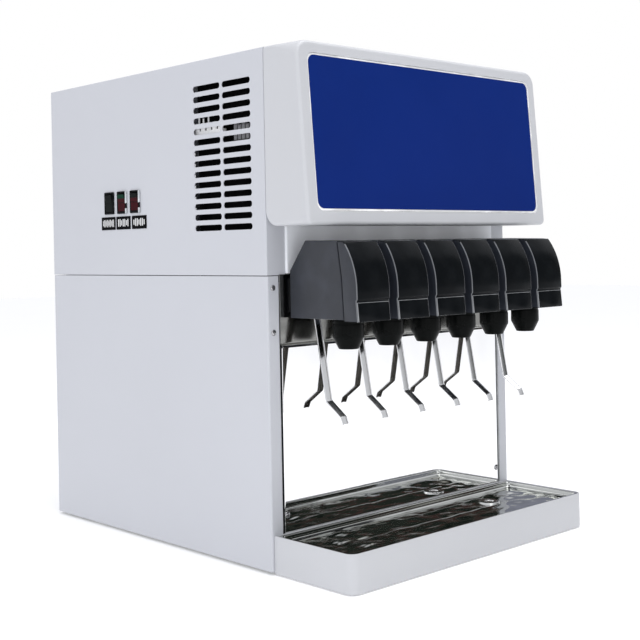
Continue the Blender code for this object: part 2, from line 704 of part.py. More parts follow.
def valve(number):
    """One dispensing valve: body, cover, nozzle and cup lever."""
    middle = (number - (VALVE_COUNT + 1) / 2) * VALVE_PITCH
    rear = -0.0085
    body_side = seam_line() + [(rear, VALVE_BOTTOM), (rear, 0.3950), (-0.0390, VALVE_TOP + 0.0015)]
    body = outline_solid("valve_body_%d" % number, [body_side], VALVE_WIDTH, "black_satin", FLAT_TO_SIDE,
                         origin=(middle, 0, 0))
    soften(body, VALVE_EDGE_RADIUS)
    join(body, box("valve_%d_mount" % number, (-0.024, -0.012, 0.340), (0.024, -PLATE_PROUD - GAP, 0.385), None,
                   (middle, 0, 0)))
    half_slot = LEVER_WIDTH / 2 + 0.0012
    cut(body, box("valve_%d_lever_slot" % number, (-half_slot, -0.0400, VALVE_BOTTOM - 0.01),
                  (half_slot, -0.0170, 0.3445), None, (middle, 0, 0)))

    part = 0.0005
    seam = seam_line()[:-1] + [(seam_line()[-1][0], COVER_BOTTOM)]
    cover_side = cover_face() + [(u - part, v) for u, v in seam[::-1]]
    cover = outline_solid("valve_cover_%d" % number, [cover_side], VALVE_WIDTH, "black_gloss", FLAT_TO_SIDE,
                          origin=(middle, 0, 0))
    soften(cover, VALVE_EDGE_RADIUS)

    top = VALVE_BOTTOM - GAP
    lip = 0.0018
    profile = [(0, top), (NOZZLE_RADIUS, top), (NOZZLE_RADIUS - 0.0003, NOZZLE_SHOULDER),
               (NOZZLE_MOUTH_RADIUS, NOZZLE_BOTTOM), (NOZZLE_MOUTH_RADIUS - lip, NOZZLE_BOTTOM),
               (NOZZLE_MOUTH_RADIUS - lip, NOZZLE_BOTTOM + 0.004), (0, NOZZLE_BOTTOM + 0.004)]
    turned("nozzle_%d" % number, profile, (middle, -NOZZLE_REACH, 0), "black_gloss")

    pivot_y, pivot_z = LEVER_PIVOT
    path = [(0, 0), (-0.0485 - pivot_y, 0.222 - pivot_z), (-0.0750 - pivot_y, 0.2033 - pivot_z),
            (-0.0785 - pivot_y, 0.1950 - pivot_z)]
    lever = outline_solid("cup_lever_%d" % number, [bent_strip(path, LEVER_THICKNESS, 0.0045, 4)], LEVER_WIDTH,
                          "stainless", FLAT_TO_SIDE, origin=(middle, pivot_y, pivot_z))
    barrel = cylinder("lever_%d_barrel" % number, (middle, pivot_y, pivot_z), (1, 0, 0), 0.003,
                      LEVER_WIDTH + 0.0016, None, sides=16)
    join(lever, barrel)


# Switches

def switch(number, depth):
    """Panel switch on the left side: a housing with a bezel, and the rocker in its well."""
    face = -HALF_WIDTH - GAP - BEZEL_PROUD
    centre = (face, depth, SWITCH_HEIGHT)
    bezel = box("switch_housing_%d" % number, (0, -BEZEL_WIDTH / 2, -BEZEL_HEIGHT / 2),
                (BEZEL_PROUD, BEZEL_WIDTH / 2, BEZEL_HEIGHT / 2), "black_satin", centre)
    body = box("switch_%d_body" % number, (BEZEL_PROUD / 2, -SWITCH_BODY_WIDTH / 2, -SWITCH_BODY_HEIGHT / 2),
               (SWITCH_BODY_DEPTH, SWITCH_BODY_WIDTH / 2, SWITCH_BODY_HEIGHT / 2), None, centre)
    join(bezel, body)
    cut(bezel, box("switch_%d_well" % number, (-0.005, -SWITCH_WELL_WIDTH / 2, -SWITCH_WELL_HEIGHT / 2),
                   (SWITCH_WELL_DEPTH, SWITCH_WELL_WIDTH / 2, SWITCH_WELL_HEIGHT / 2), None, centre))

    # The rocker's side view: U is the height along the switch and V points out of the cabinet.
    reach = ROCKER_HALF_HEIGHT
    out = ROCKER_PIVOT_DEPTH
    side_view = [(-reach, out + ROCKER_DISH), (0, out), (reach, out + ROCKER_DISH), (reach, out - 0.003),
                 (0.007, -0.003), (-0.007, -0.003), (-reach, out - 0.003)]
    tilt = Matrix.Rotation(-ROCKER_TILT, 4, "Y")
    stand = Matrix(((0, -1, 0, 0), (0, 0, 1, 0), (1, 0, 0, 0), (0, 0, 0, 1)))
    rocker = outline_solid("rocker_%d" % number, [side_view], ROCKER_WIDTH, "black_gloss", tilt @ stand,
                           origin=(face + ROCKER_PIVOT_DEPTH, depth, SWITCH_HEIGHT))
    soften(rocker, 0.0006)


# Cooling and carbonation

def water_bath():
    tank = box("water_bath_tank", BATH_LOW, BATH_HIGH, "insulation", radius=0.012,
               chosen=lambda middle, direction: abs(direction.z) > 0.9)
    cut(tank, box("bath_inside", (BATH_LOW[0] + BATH_WALL, BATH_LOW[1] + BATH_WALL, BATH_FLOOR),
                  (BATH_HIGH[0] - BATH_WALL, BATH_HIGH[1] - BATH_WALL, BATH_HIGH[2] + 0.03), None))


def evaporator_coil():
    """A tube wound round the inside of the bath, on a square with round corners."""
    curve = bpy.data.curves.new("evaporator_coil", "CURVE")
    curve.dimensions = "3D"
    curve.bevel_depth = COIL_TUBE_RADIUS
    curve.bevel_resolution = 1
    curve.use_fill_caps = True
    spline = curve.splines.new("POLY")
    per_turn = 16
    spline.points.add(COIL_TURNS * per_turn)
    for step, point in enumerate(spline.points):
        angle = 2 * math.pi * step / per_turn
        squarish = 1 / (abs(math.cos(angle)) ** 4 + abs(math.sin(angle)) ** 4) ** 0.25
        point.co = (COIL_HALF_SIZE[0] * squarish * math.cos(angle), COIL_HALF_SIZE[1] * squarish * math.sin(angle),
                    COIL_PITCH * step / per_turn, 1)
    coil = bpy.data.objects.new("evaporator_coil", curve)
    PARTS.objects.link(coil)
    coil.parent = FRAME
    coil.location = (0, (BATH_LOW[1] + BATH_HIGH[1]) / 2, BATH_FLOOR + GAP + COIL_TUBE_RADIUS * 1.05)
    curve.materials.append(MATERIALS["copper"])


def carbonator_tank():
    """A drawn vessel with rounded ends, a port on top and a small drain hole below."""
    radius, height, wall, port = TANK_RADIUS, TANK_HEIGHT, TANK_WALL, TANK_PORT_RADIUS
    shoulder = radius * 0.35
    top = height - 0.012
    profile = [(port, height), (port + 0.004, height), (port + 0.004, top), (radius - shoulder, top),
               (radius, top - shoulder), (radius, shoulder), (radius - shoulder, 0), (0.002, 0), (0.002, wall),
               (radius - shoulder - wall / 2, wall), (radius - wall, shoulder + wall / 2),
               (radius - wall, top - shoulder - wall / 2), (radius - shoulder - wall / 2, top - wall),
               (port, top - wall)]
    turned("carbonator_tank", profile, (*TANK_CENTRE, BATH_FLOOR + GAP), "brushed_steel", sides=16)


def agitator():
    """Motor on the deck, with a bore for the shaft of the impeller that hangs in the bath."""
    motor = cylinder("agitator_motor", (*AGITATOR_CENTRE, DECK_TOP + GAP + 0.031), (0, 0, 1), 0.036, 0.062,
                     "compressor_black", bevel=0.004)
    cut(motor, cylinder("agitator_motor_bore", (*AGITATOR_CENTRE, 0.385), (0, 0, 1), 0.0045, 0.030, None, sides=16))
    impeller = cylinder("agitator_impeller", (*AGITATOR_CENTRE, 0.260), (0, 0, 1), 0.0040, 0.250, "brushed_steel",
                        sides=16)
    for blade in range(AGITATOR_BLADES):
        paddle = box("impeller_blade_%d" % blade, (0.002, -0.0012, -0.010), (0.030, 0.0012, 0.010), None,
                     (*AGITATOR_CENTRE, 0.148))
        paddle.rotation_euler = (math.radians(25), 0, 2 * math.pi * blade / AGITATOR_BLADES)
        join(impeller, paddle)


def compressor():
    """A dome with its mounting feet, open below."""
    dome = cylinder("compressor", COMPRESSOR_CENTRE, (0, 0, 1), COMPRESSOR_RADIUS, 0.170, "compressor_black", sides=32,
                    bevel=0.030)
    join(dome, box("compressor_feet", (-0.085, -0.060, -0.0885), (0.085, 0.060, -0.0760), None, COMPRESSOR_CENTRE))
    x, y, z = COMPRESSOR_CENTRE
    cut(dome, cylinder("compressor_inside", (x, y, z - 0.018), (0, 0, 1), COMPRESSOR_RADIUS - 0.021, 0.160, None))


def condenser():
    """A block with gaps across its outer face, behind the left side's air slots."""
    low = (*CONDENSER_LOW, DECK_TOP + GAP)
    core = box("condenser", low, (*CONDENSER_HIGH, CONDENSER_TOP), "aluminium")
    gaps = 10
    pitch = (CONDENSER_TOP - low[2]) / gaps
    for gap in range(gaps):
        height = low[2] + (gap + 0.5) * pitch
        cut(core, box("condenser_gap_%d" % gap, (low[0] - 0.01, low[1] + 0.006, height - 0.006),
                      (low[0] + 0.014, CONDENSER_HIGH[1] - 0.006, height + 0.006), None))


def condenser_fan():
    """Axial fan with a blind bore, on the shaft of the motor behind it."""
    x, y, z = FAN_CENTRE
    fan = cylinder("condenser_fan", FAN_CENTRE, (1, 0, 0), 0.018, 0.018, "black_satin", sides=20)
    for blade in range(FAN_BLADES):
        vane = box("fan_blade_%d" % blade, (-0.0011, -0.016, 0.014), (0.0011, 0.016, FAN_RADIUS), None, FAN_CENTRE)
        around = Matrix.Rotation(2 * math.pi * blade / FAN_BLADES, 4, "X")
        vane.rotation_euler = (around @ Matrix.Rotation(FAN_BLADE_ANGLE, 4, "Z")).to_euler()
        join(fan, vane)
    cut(fan, cylinder("fan_bore", (x + 0.006, y, z), (1, 0, 0), 0.0030, 0.012, None, sides=16))

    motor = cylinder("fan_motor", (x + 0.046, y, z), (1, 0, 0), 0.030, 0.050, "compressor_black", bevel=0.004)
    join(motor, cylinder("fan_shaft", (x + 0.013, y, z), (1, 0, 0), 0.0027, 0.022, None, sides=16))
    join(motor, box("fan_motor_stand", (0.030, -0.014, -0.1612), (0.062, 0.014, -0.020), None, FAN_CENTRE))


def build():
    lower_cabinet()
    power_inlet()
    upper_shroud()
    upper_panels()
    front_plates()
    drip_tray()
    hood()
    for number in range(1, VALVE_COUNT + 1):
        valve(number)
    for number, depth in enumerate(SWITCH_CENTRES, 1):
        switch(number, depth)
    water_bath()
    evaporator_coil()
    carbonator_tank()
    agitator()
    compressor()
    condenser()
    condenser_fan()
    bpy.context.view_layer.update()
    for item in PARTS.objects:
        if item.type == "MESH":
            shade_round(item)


build()
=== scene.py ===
"""The finished look of a six-valve fountain soda dispenser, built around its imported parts.

Pieces are drawn in cabinet coordinates, in metres: X to the right from the cabinet's middle, Y to the back from its
front plane and Z up from the panels' lower edge.  ORIGIN is that point in the frame.
"""
import math

import bmesh
import bpy
from mathutils import Matrix, Vector, noise


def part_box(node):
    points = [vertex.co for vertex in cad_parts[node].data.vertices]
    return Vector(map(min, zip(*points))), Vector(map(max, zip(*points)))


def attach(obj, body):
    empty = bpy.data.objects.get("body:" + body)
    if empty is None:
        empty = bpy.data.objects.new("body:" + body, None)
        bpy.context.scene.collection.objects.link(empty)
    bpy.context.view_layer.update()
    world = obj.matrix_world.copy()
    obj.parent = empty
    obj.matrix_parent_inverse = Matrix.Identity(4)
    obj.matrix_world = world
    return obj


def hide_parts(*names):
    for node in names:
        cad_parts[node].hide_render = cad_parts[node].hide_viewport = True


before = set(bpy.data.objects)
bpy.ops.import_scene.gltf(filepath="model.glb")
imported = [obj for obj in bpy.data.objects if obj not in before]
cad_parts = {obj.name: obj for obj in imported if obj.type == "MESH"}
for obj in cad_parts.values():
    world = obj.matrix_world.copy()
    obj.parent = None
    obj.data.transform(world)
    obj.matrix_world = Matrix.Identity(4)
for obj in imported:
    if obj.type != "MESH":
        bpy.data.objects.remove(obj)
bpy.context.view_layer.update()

SHROUD_LOW, SHROUD_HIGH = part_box("upper_shroud")
ORIGIN = Vector(((SHROUD_LOW.x + SHROUD_HIGH.x) / 2, SHROUD_LOW.y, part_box("left_side_panel")[0].z))


def corners(node):
    """Lowest and highest corner of a CAD node, in cabinet coordinates."""
    low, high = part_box(node)
    return low - ORIGIN, high - ORIGIN


def middle_of(node):
    """Middle of a CAD node's box, in cabinet coordinates."""
    low, high = corners(node)
    return (low + high) / 2


# Driving dimensions that a node's box doesn't give
HALF_WIDTH = (SHROUD_HIGH.x - SHROUD_LOW.x) / 2
DEPTH = SHROUD_HIGH.y - SHROUD_LOW.y
SHEET = 0.0015
COLUMN_WIDTH = 0.020
UPPER_FLANGE = 0.032
FRONT_OPENING_TOP = 0.664
REAR_OPENING_TOP = 0.668
FOLD_RADIUS = 0.0018
SIDE_FOLD_RADIUS = 0.0024
PANEL_FOLD_RADIUS = 0.0016
EDGE = 0.00025

HOOD_LEAN = 0.018
HOOD_WALL = 0.0022
HOOD_RISE = 0.002
HOOD_EDGE_RADIUS = 0.005
HOOD_CORNERS = (0.009, 0.020)
HOOD_SIDE_RADIUS = 0.004
HOOD_REAR_RADIUS = 0.018
WINDOW_RADIUS = 0.0115
FILM_MARGIN = (0.0015, 0.0025)

SLOT_ROWS = 14
SLOT_PITCH = 0.015
SLOT_SIZE = (0.0605, 0.0084)
SLOT_RADIUS = 0.0040
SLOT_FIRST_ROW = 0.4553
SLOT_COLUMN_CENTRES = (0.0575, 0.1225)

SWITCHES = (1, 2, 3)
SWITCH_HOLE = Vector((0.02, 0.0226, 0.0311))
BEZEL_PROUD = 0.002
WELL_SIZE = (0.0196, 0.0280)
ROCKER_TILT = math.radians(6)
ROCKER_PIVOT_DEPTH = 0.004
LABEL_SIZE = (0.038, 0.0198)
LABEL_HEIGHT = 0.4686

VALVE_COUNT = 6
VALVE_EDGE_RADIUS = 0.0015
COVER_EDGE_RADIUS = 0.0011
COVER_BOTTOM = 0.3302
LEVER_PATH = ((-0.0267, 0.3395), (-0.0485, 0.2220), (-0.0750, 0.2033), (-0.0785, 0.1950))
LEVER_BEND_RADIUS = 0.0050

TRAY_CORNER_RADIUS = 0.014
TRAY_WALL = 0.0020
PAN_RIM = 0.005
PAN_SHEET = 0.0010

FLAT_TO_SIDE = Matrix(((0, 0, 1, 0), (1, 0, 0, 0), (0, 1, 0, 0), (0, 0, 0, 1)))
FLAT_TO_FRONT = Matrix(((1, 0, 0, 0), (0, 0, 1, 0), (0, 1, 0, 0), (0, 0, 0, 1)))


# Materials

WHITE = (1, 1, 1, 1)


def wire(node, **sockets):
    """Set a node's sockets, named with _ for a space, to values or to other nodes' outputs."""
    for name, value in sockets.items():
        socket = node.inputs[name.replace("_", " ")]
        if isinstance(value, bpy.types.NodeSocket):
            node.id_data.links.new(value, socket)
        else:
            socket.default_value = value
    return node


class Surface:
    """A Principled material whose colour, roughness and relief vary with procedural textures."""

    def __init__(self, name, colour, roughness, metallic=0.0, **constants):
        self.material = bpy.data.materials.new(name)
        self.material.use_nodes = True
        self.tree = self.material.node_tree
        self.shader = self.tree.nodes["Principled BSDF"]
        self.colour = colour
        self.roughness = roughness
        self.base = (*colour, 1)
        wire(self.shader, Base_Color=self.base, Roughness=roughness, Metallic=metallic, **constants)

    def node(self, kind, **sockets):
        return wire(self.tree.nodes.new("ShaderNode" + kind), **sockets)

    def place(self, stretch):
        """Object coordinates in metres, stretched."""
        return self.node("Mapping", Vector=self.node("TexCoord").outputs["Object"], Scale=stretch).outputs["Vector"]

    def noise(self, scale, detail=3.0, stretch=(1, 1, 1)):
        """Cloudy noise with this many features a metre."""
        return self.node("TexNoise", Vector=self.place(stretch), Scale=scale, Detail=detail).outputs[0]

    def cells(self, scale):
        """One random grey for each cell, with this many cells a metre."""
        return self.node("TexVoronoi", Vector=self.place((1, 1, 1)), Scale=scale).outputs["Color"]

    def ranged(self, factor, low, high, start=0.25, end=0.75):
        """A factor spread from low to high."""
        limits = dict(From_Min=start, From_Max=end, To_Min=low, To_Max=high)
        return self.node("MapRange", Value=factor, **limits).outputs["Result"]

    def tint(self, factor, other, start=0.3, end=0.7):
        """Mix another colour into the base colour where the factor is high."""
        mix = self.node("Mix")
        mix.data_type = "RGBA"
        wire(mix, Factor=self.ranged(factor, 0, 1, start, end), A=self.base, B=(*other, 1))
        self.base = mix.outputs["Result"]
        wire(self.shader, Base_Color=self.base)

    def shade(self, factor, amount):
        """Darken the base colour by up to this share of itself."""
        self.tint(factor, [channel * (1 - amount) for channel in self.colour])

    def wear(self, factor, amount):
        """Spread the roughness by this much each way."""
        wire(self.shader, Roughness=self.ranged(factor, self.roughness - amount, self.roughness + amount))

    def relief(self, factor, height):
        """Raise the surface by up to this height, in metres."""
        bump = self.node("Bump", Height=factor, Distance=height, Strength=1.0)
        wire(self.shader, Normal=bump.outputs["Normal"])


def enamel(name, colour, painted_glow=0.0):
    """Baked enamel: a faint orange peel and slow drifts of tone. Painted light: painted_glow makes it glow white,
    though it is no lamp.
    """
    paint = Surface(name, colour, 0.36, Specular_IOR_Level=0.5, Emission_Strength=painted_glow, Emission_Color=WHITE)
    paint.shade(paint.noise(2.5, 4), 0.035)
    paint.wear(paint.noise(14, 5), 0.07)
    paint.relief(paint.noise(260, 2), 0.000012)
    return paint.material


def plastic(name, colour, roughness, grain_scale, grain_height, specular=0.5):
    """Moulded plastic with its own grain, slightly greyed in patches by handling."""
    moulded = Surface(name, colour, roughness, Specular_IOR_Level=specular)
    moulded.tint(moulded.noise(35, 5), [channel * 1.5 + 0.002 for channel in colour], 0.45, 0.8)
    moulded.wear(moulded.noise(60, 6), roughness * 0.25)
    moulded.relief(moulded.noise(grain_scale, 3), grain_height)
    return moulded.material


def brushed(name, colour, roughness, grain, line_height=0.000006):
    """Brushed metal: fine lines along X, with broader smears."""
    metal = Surface(name, colour, roughness, 1.0)
    lines = metal.noise(90, 8, grain)
    metal.shade(lines, 0.14)
    metal.wear(metal.noise(40, 6, grain), roughness * 0.35)
    metal.relief(lines, line_height)
    return metal.material


def polished(name, colour, roughness, smear):
    """Polished stainless sheet with wiping smears and hairline scratches."""
    metal = Surface(name, colour, roughness, 1.0)
    metal.shade(metal.noise(22, 5), 0.06)
    metal.wear(metal.noise(9, 6, (1, 1, 2.5)), smear)
    metal.relief(metal.noise(500, 2, (0.15, 1, 1)), 0.0000015)
    return metal.material


def galvanised(name):
    """Zinc-coated sheet with its spangle."""
    zinc = Surface(name, (0.50, 0.52, 0.53), 0.42, 1.0)
    spangle = zinc.cells(150)
    zinc.shade(spangle, 0.16)
    zinc.wear(spangle, 0.10)
    zinc.relief(zinc.noise(180, 4), 0.00001)
    return zinc.material


def blue_film(name):
    """Printed film behind clear gloss."""
    film = Surface(name, (0.0068, 0.0255, 0.182), 0.16, Specular_IOR_Level=0.35)
    film.shade(film.noise(5, 3), 0.10)
    film.wear(film.noise(25, 5), 0.05)
    film.relief(film.noise(30, 2), 0.00001)
    return film.material


def rubber(name):
    """Moulded rubber, dusty in patches."""
    compound = Surface(name, (0.016, 0.016, 0.017), 0.80)
    compound.tint(compound.noise(120, 5), (0.05, 0.048, 0.045), 0.5, 0.85)
    compound.wear(compound.noise(300, 4), 0.10)
    compound.relief(compound.noise(900, 2), 0.00003)
    return compound.material


def foam(name):
    """Cast insulation with an open, crumbly skin."""
    skin = Surface(name, (0.58, 0.55, 0.48), 0.85)
    skin.tint(skin.noise(40, 6), (0.42, 0.38, 0.30))
    skin.relief(skin.noise(350, 5), 0.0003)
    return skin.material


def lens(name, colour):
    """Tinted switch lens."""
    tinted = Surface(name, colour, 0.40, Specular_IOR_Level=0.05)
    tinted.shade(tinted.noise(180, 3), 0.35)
    tinted.wear(tinted.noise(250, 3), 0.06)
    tinted.relief(tinted.cells(700), 0.00001)
    return tinted.material


def printed(name, colour):
    """Matt print, a little uneven in density."""
    ink = Surface(name, colour, 0.5, Specular_IOR_Level=0.03)
    ink.shade(ink.noise(400, 4), 0.12)
    ink.relief(ink.noise(1500, 2), 0.000004)
    return ink.material


def make_materials():
    """Every material by its name, from its maker and the maker's settings."""
    along_x, along_z, even = (0.06, 1, 1), (1, 1, 0.1), (1, 1, 1)
    recipes = {
        "white_enamel": (enamel, (0.582, 0.594, 0.632)),
        "hood_enamel": (enamel, (0.585, 0.593, 0.615)),
        # painted light: the front panel under the hood is paler than the other enamel and glows, lightening the shade
        # that falls on it
        "painted_glow_enamel": (enamel, (0.88, 0.90, 0.94), 0.06),
        "galvanised": (galvanised,),
        "brushed_steel": (brushed, (0.30, 0.30, 0.285), 0.15, along_x),
        "mirror_steel": (polished, (0.96, 0.96, 0.96), 0.020, 0.01),
        "pan_steel": (polished, (0.56, 0.57, 0.55), 0.06, 0.03),
        "lever_steel": (polished, (0.90, 0.90, 0.90), 0.13, 0.04),
        "black_gloss": (plastic, (0.0058, 0.0068, 0.0078), 0.16, 140, 0.000004, 0.05),
        "painted_highlight_edge": (plastic, (0.135, 0.142, 0.152), 0.30, 140, 0.00001),
        "painted_highlight_and_shadow_grey": (plastic, (0.30, 0.31, 0.32), 0.30, 140, 0.00001),
        "valve_black": (plastic, (0.0190, 0.0220, 0.0300), 0.38, 700, 0.00003),
        "nozzle_black": (plastic, (0.0022, 0.0028, 0.0026), 0.30, 260, 0.00001, 0.06),
        "black_satin": (plastic, (0.0050, 0.0055, 0.0065), 0.45, 900, 0.00002, 0.03),
        "rocker_black": (plastic, (0.0055, 0.0070, 0.0070), 0.40, 500, 0.00001, 0.04),
        # painted highlight: pale grey for the glint strips on the switch bezels
        "pale_trim": (plastic, (0.52, 0.54, 0.56), 0.35, 500, 0.00001, 0.2),
        "terminal_grey": (plastic, (0.16, 0.16, 0.17), 0.40, 300, 0.00002),
        # painted shade: near-black fins and tubes keep the inside seen through the air slots dark
        "painted_shade_black": (plastic, (0.0040, 0.0040, 0.0046), 0.50, 300, 0.00002, 0.10),
        "rubber": (rubber,),
        "blue_acrylic": (blue_film,),
        "lamp_white": (plastic, (0.82, 0.82, 0.82), 0.30, 300, 0.00001),
        "copper": (brushed, (0.62, 0.30, 0.17), 0.34, even),
        "insulation": (foam,),
        "compressor_black": (plastic, (0.018, 0.018, 0.020), 0.40, 320, 0.00006),
        "lens_green": (lens, (0.003, 0.040, 0.022)),
        "lens_red": (lens, (0.050, 0.003, 0.007)),
        "label_print": (printed, (0.80, 0.80, 0.80)),
        "label_black": (printed, (0.002, 0.002, 0.003)),
        "screw_steel": (polished, (0.42, 0.42, 0.43), 0.16, 0.04),
        "lever_rear": (brushed, (0.060, 0.056, 0.050), 0.45, along_z),
        "brass": (brushed, (0.60, 0.45, 0.22), 0.30, even),
    }
    return {name: make(name, *settings) for name, (make, *settings) in recipes.items()}


MATERIALS = make_materials()


# Outlines

def arc(centre, radius, start, end, steps):
    """Points on a circle, from one angle to another in degrees."""
    points = []
    for step in range(steps + 1):
        angle = math.radians(start + (end - start) * step / steps)
        points.append((centre[0] + radius * math.cos(angle), centre[1] + radius * math.sin(angle)))
    return points


def rounded_rectangle(low, high, radius, steps=6, upper_radius=None):
    """Rectangle with rounded corners; the two upper ones may have their own radius."""
    (left, bottom), (right, top) = low, high
    upper = radius if upper_radius is None else upper_radius
    points = arc((right - radius, bottom + radius), radius, -90, 0, steps)
    points += arc((right - upper, top - upper), upper, 0, 90, steps)
    points += arc((left + upper, top - upper), upper, 90, 180, steps)
    return points + arc((left + radius, bottom + radius), radius, 180, 270, steps)


def rounded_about(centre, size, radius, steps=6):
    """Rounded rectangle from its centre and size."""
    half = (size[0] / 2, size[1] / 2)
    return rounded_rectangle((centre[0] - half[0], centre[1] - half[1]), (centre[0] + half[0], centre[1] + half[1]),
                             radius, steps)


def arc_through(first, middle, last, steps):
    """Points along the circular arc through three points."""
    (ax, ay), (bx, by), (cx, cy) = first, middle, last
    twice = 2 * (ax * (by - cy) + bx * (cy - ay) + cx * (ay - by))
    sa, sb, sc = ax * ax + ay * ay, bx * bx + by * by, cx * cx + cy * cy
    centre = ((sa * (by - cy) + sb * (cy - ay) + sc * (ay - by)) / twice,
              (sa * (cx - bx) + sb * (ax - cx) + sc * (bx - ax)) / twice)
    start = math.degrees(math.atan2(ay - centre[1], ax - centre[0]))
    end = math.degrees(math.atan2(cy - centre[1], cx - centre[0]))
    end += 360 * round((start - end) / 360)
    return arc(centre, math.dist(centre, first), start, end, steps)


def bent_line(path, radius, steps):
    """Stations (point, unit normal to the left) along a line with rounded bends."""
    corners_of = [Vector(point) for point in path]

    def left_of(direction):
        return Vector((-direction.y, direction.x)).normalized()

    stations = [(corners_of[0], left_of(corners_of[1] - corners_of[0]))]
    for before, here, after in zip(corners_of, corners_of[1:], corners_of[2:]):
        back = (before - here).normalized()
        ahead = (after - here).normalized()
        half_angle = back.angle(ahead) / 2
        centre = here + (back + ahead).normalized() * radius / math.sin(half_angle)
        start = here + back * (radius / math.tan(half_angle)) - centre
        side = 1 if (-back).cross(ahead) > 0 else -1
        for step in range(steps + 1):
            spoke = Matrix.Rotation(side * (math.pi - 2 * half_angle) * step / steps, 2) @ start
            stations.append((centre + spoke, -side * spoke.normalized()))
    stations.append((corners_of[-1], left_of(corners_of[-1] - corners_of[-2])))
    return stations


def bent_strip(path, thickness, radius, steps=6):
    """Outline of a sheet folded along a centre line, with rounded bends."""
    stations = bent_line(path, radius, steps)
    left = [tuple(point + normal * thickness / 2) for point, normal in stations]
    right = [tuple(point - normal * thickness / 2) for point, normal in stations]
    return left + right[::-1]


# Meshes

SAME_POINT = 1e-6
SHARP = 35


def mesh_from(bm):
    """The finished mesh, with its faces turned outwards."""
    bmesh.ops.recalc_face_normals(bm, faces=bm.faces)
    mesh = bpy.data.meshes.new("shape")
    bm.to_mesh(mesh)
    bm.free()
    return mesh


def in_scene(name, data):
    """A new object in the scene."""
    item = bpy.data.objects.new(name, data)
    bpy.context.scene.collection.objects.link(item)
    return item


def settled(item, *helpers):
    """The mesh that an item's curve or modifiers make. The item and its helpers are removed."""
    mesh = bpy.data.meshes.new_from_object(item.evaluated_get(bpy.context.evaluated_depsgraph_get()))
    for used in (item, *helpers):
        bpy.data.objects.remove(used, do_unlink=True)
    return mesh


def block(low, high, radius=0, segments=3, chosen=None):
    """A box; the edges for which chosen(middle, direction) is true are rounded."""
    low, high = Vector(low), Vector(high)
    bm = bmesh.new()
    bmesh.ops.create_cube(bm, size=1)
    bmesh.ops.scale(bm, vec=high - low, verts=bm.verts)
    bmesh.ops.translate(bm, vec=(low + high) / 2, verts=bm.verts)
    if radius:
        edges = []
        for edge in bm.edges:
            first, second = edge.verts[0].co, edge.verts[1].co
            if not chosen or chosen((first + second) / 2, (second - first).normalized()):
                edges.append(edge)
        bmesh.ops.bevel(bm, geom=edges, offset=radius, segments=segments, profile=0.5, affect="EDGES")
    return mesh_from(bm)


def plate(outlines, thickness, matrix=Matrix.Identity(4), middle=(0, 0, 0)):
    """Flat outlines (the first is the edge, the others are holes) made this thick about their plane."""
    curve = bpy.data.curves.new("outline", "CURVE")
    curve.dimensions = "2D"
    curve.fill_mode = "BOTH"
    curve.extrude = thickness / 2
    for outline in outlines:
        spline = curve.splines.new("POLY")
        spline.points.add(len(outline) - 1)
        for point, (u, v) in zip(spline.points, outline):
            point.co = (u, v, 0, 1)
        spline.use_cyclic_u = True
    flat = settled(in_scene("outline", curve))
    bpy.data.curves.remove(curve)
    bm = bmesh.new()
    bm.from_mesh(flat)
    bpy.data.meshes.remove(flat)
    bmesh.ops.remove_doubles(bm, verts=bm.verts, dist=SAME_POINT)
    bmesh.ops.dissolve_limit(bm, angle_limit=math.radians(0.5), verts=bm.verts, edges=bm.edges)
    bmesh.ops.transform(bm, matrix=Matrix.Translation(middle) @ matrix, verts=bm.verts)
    return mesh_from(bm)


def skin(bm, rings):
    """Faces between each ring of vertices and the next."""
    for first, second in zip(rings, rings[1:]):
        for step in range(len(first)):
            after = (step + 1) % len(first)
            face = dict.fromkeys((first[step], first[after], second[after], second[step]))
            if len(face) > 2:
                bm.faces.new(face)


def turned(profile, sides=64, place=(0, 0, 0), axis=(0, 0, 1)):
    """Turn a profile of (radius, height) points about an axis through place. One that starts off the axis is closed."""
    bm = bmesh.new()
    rings = []
    for radius, height in profile:
        spokes = [2 * math.pi * step / sides for step in range(sides if radius else 1)]
        ring = [bm.verts.new((radius * math.cos(angle), radius * math.sin(angle), height)) for angle in spokes]
        rings.append(ring if radius else ring * sides)
    skin(bm, rings + rings[:1] if profile[0][0] else rings)
    turn = Vector((0, 0, 1)).rotation_difference(Vector(axis)).to_matrix().to_4x4()
    bmesh.ops.transform(bm, matrix=Matrix.Translation(place) @ turn, verts=bm.verts)
    return mesh_from(bm)


def loft(rings, capped=True):
    """Skin over rings of points that all have the same count."""
    bm = bmesh.new()
    rings = [[bm.verts.new(point) for point in ring] for ring in rings]
    skin(bm, rings)
    if capped:
        bm.faces.new(rings[0])
        bm.faces.new(rings[-1])
    bmesh.ops.remove_doubles(bm, verts=bm.verts, dist=SAME_POINT)
    return mesh_from(bm)


def merged(*meshes):
    """Several meshes as one, left as separate shells."""
    bm = bmesh.new()
    for mesh in meshes:
        bm.from_mesh(mesh)
    return mesh_from(bm)


def carved(mesh, cutters):
    """The mesh with other meshes cut from it."""
    item = in_scene("carving", mesh)
    tools = [in_scene("cutter", cutter) for cutter in cutters]
    for tool in tools:
        step = item.modifiers.new("carve", "BOOLEAN")
        step.operation = "DIFFERENCE"
        step.solver = "EXACT"
        step.object = tool
    return settled(item, *tools)


def round_edges(item, width, segments, sharp):
    """Bevel the edges where faces meet at more than this angle, in degrees."""
    rounding = item.modifiers.new("edges", "BEVEL")
    rounding.width = width
    rounding.segments = segments
    rounding.limit_method = "ANGLE"
    rounding.angle_limit = math.radians(sharp)
    rounding.use_clamp_overlap = False


def rounded(mesh, width, segments):
    """The same mesh with its sharp edges rounded."""
    item = in_scene("rounded", mesh)
    round_edges(item, width, segments, SHARP)
    return settled(item)


# Pieces

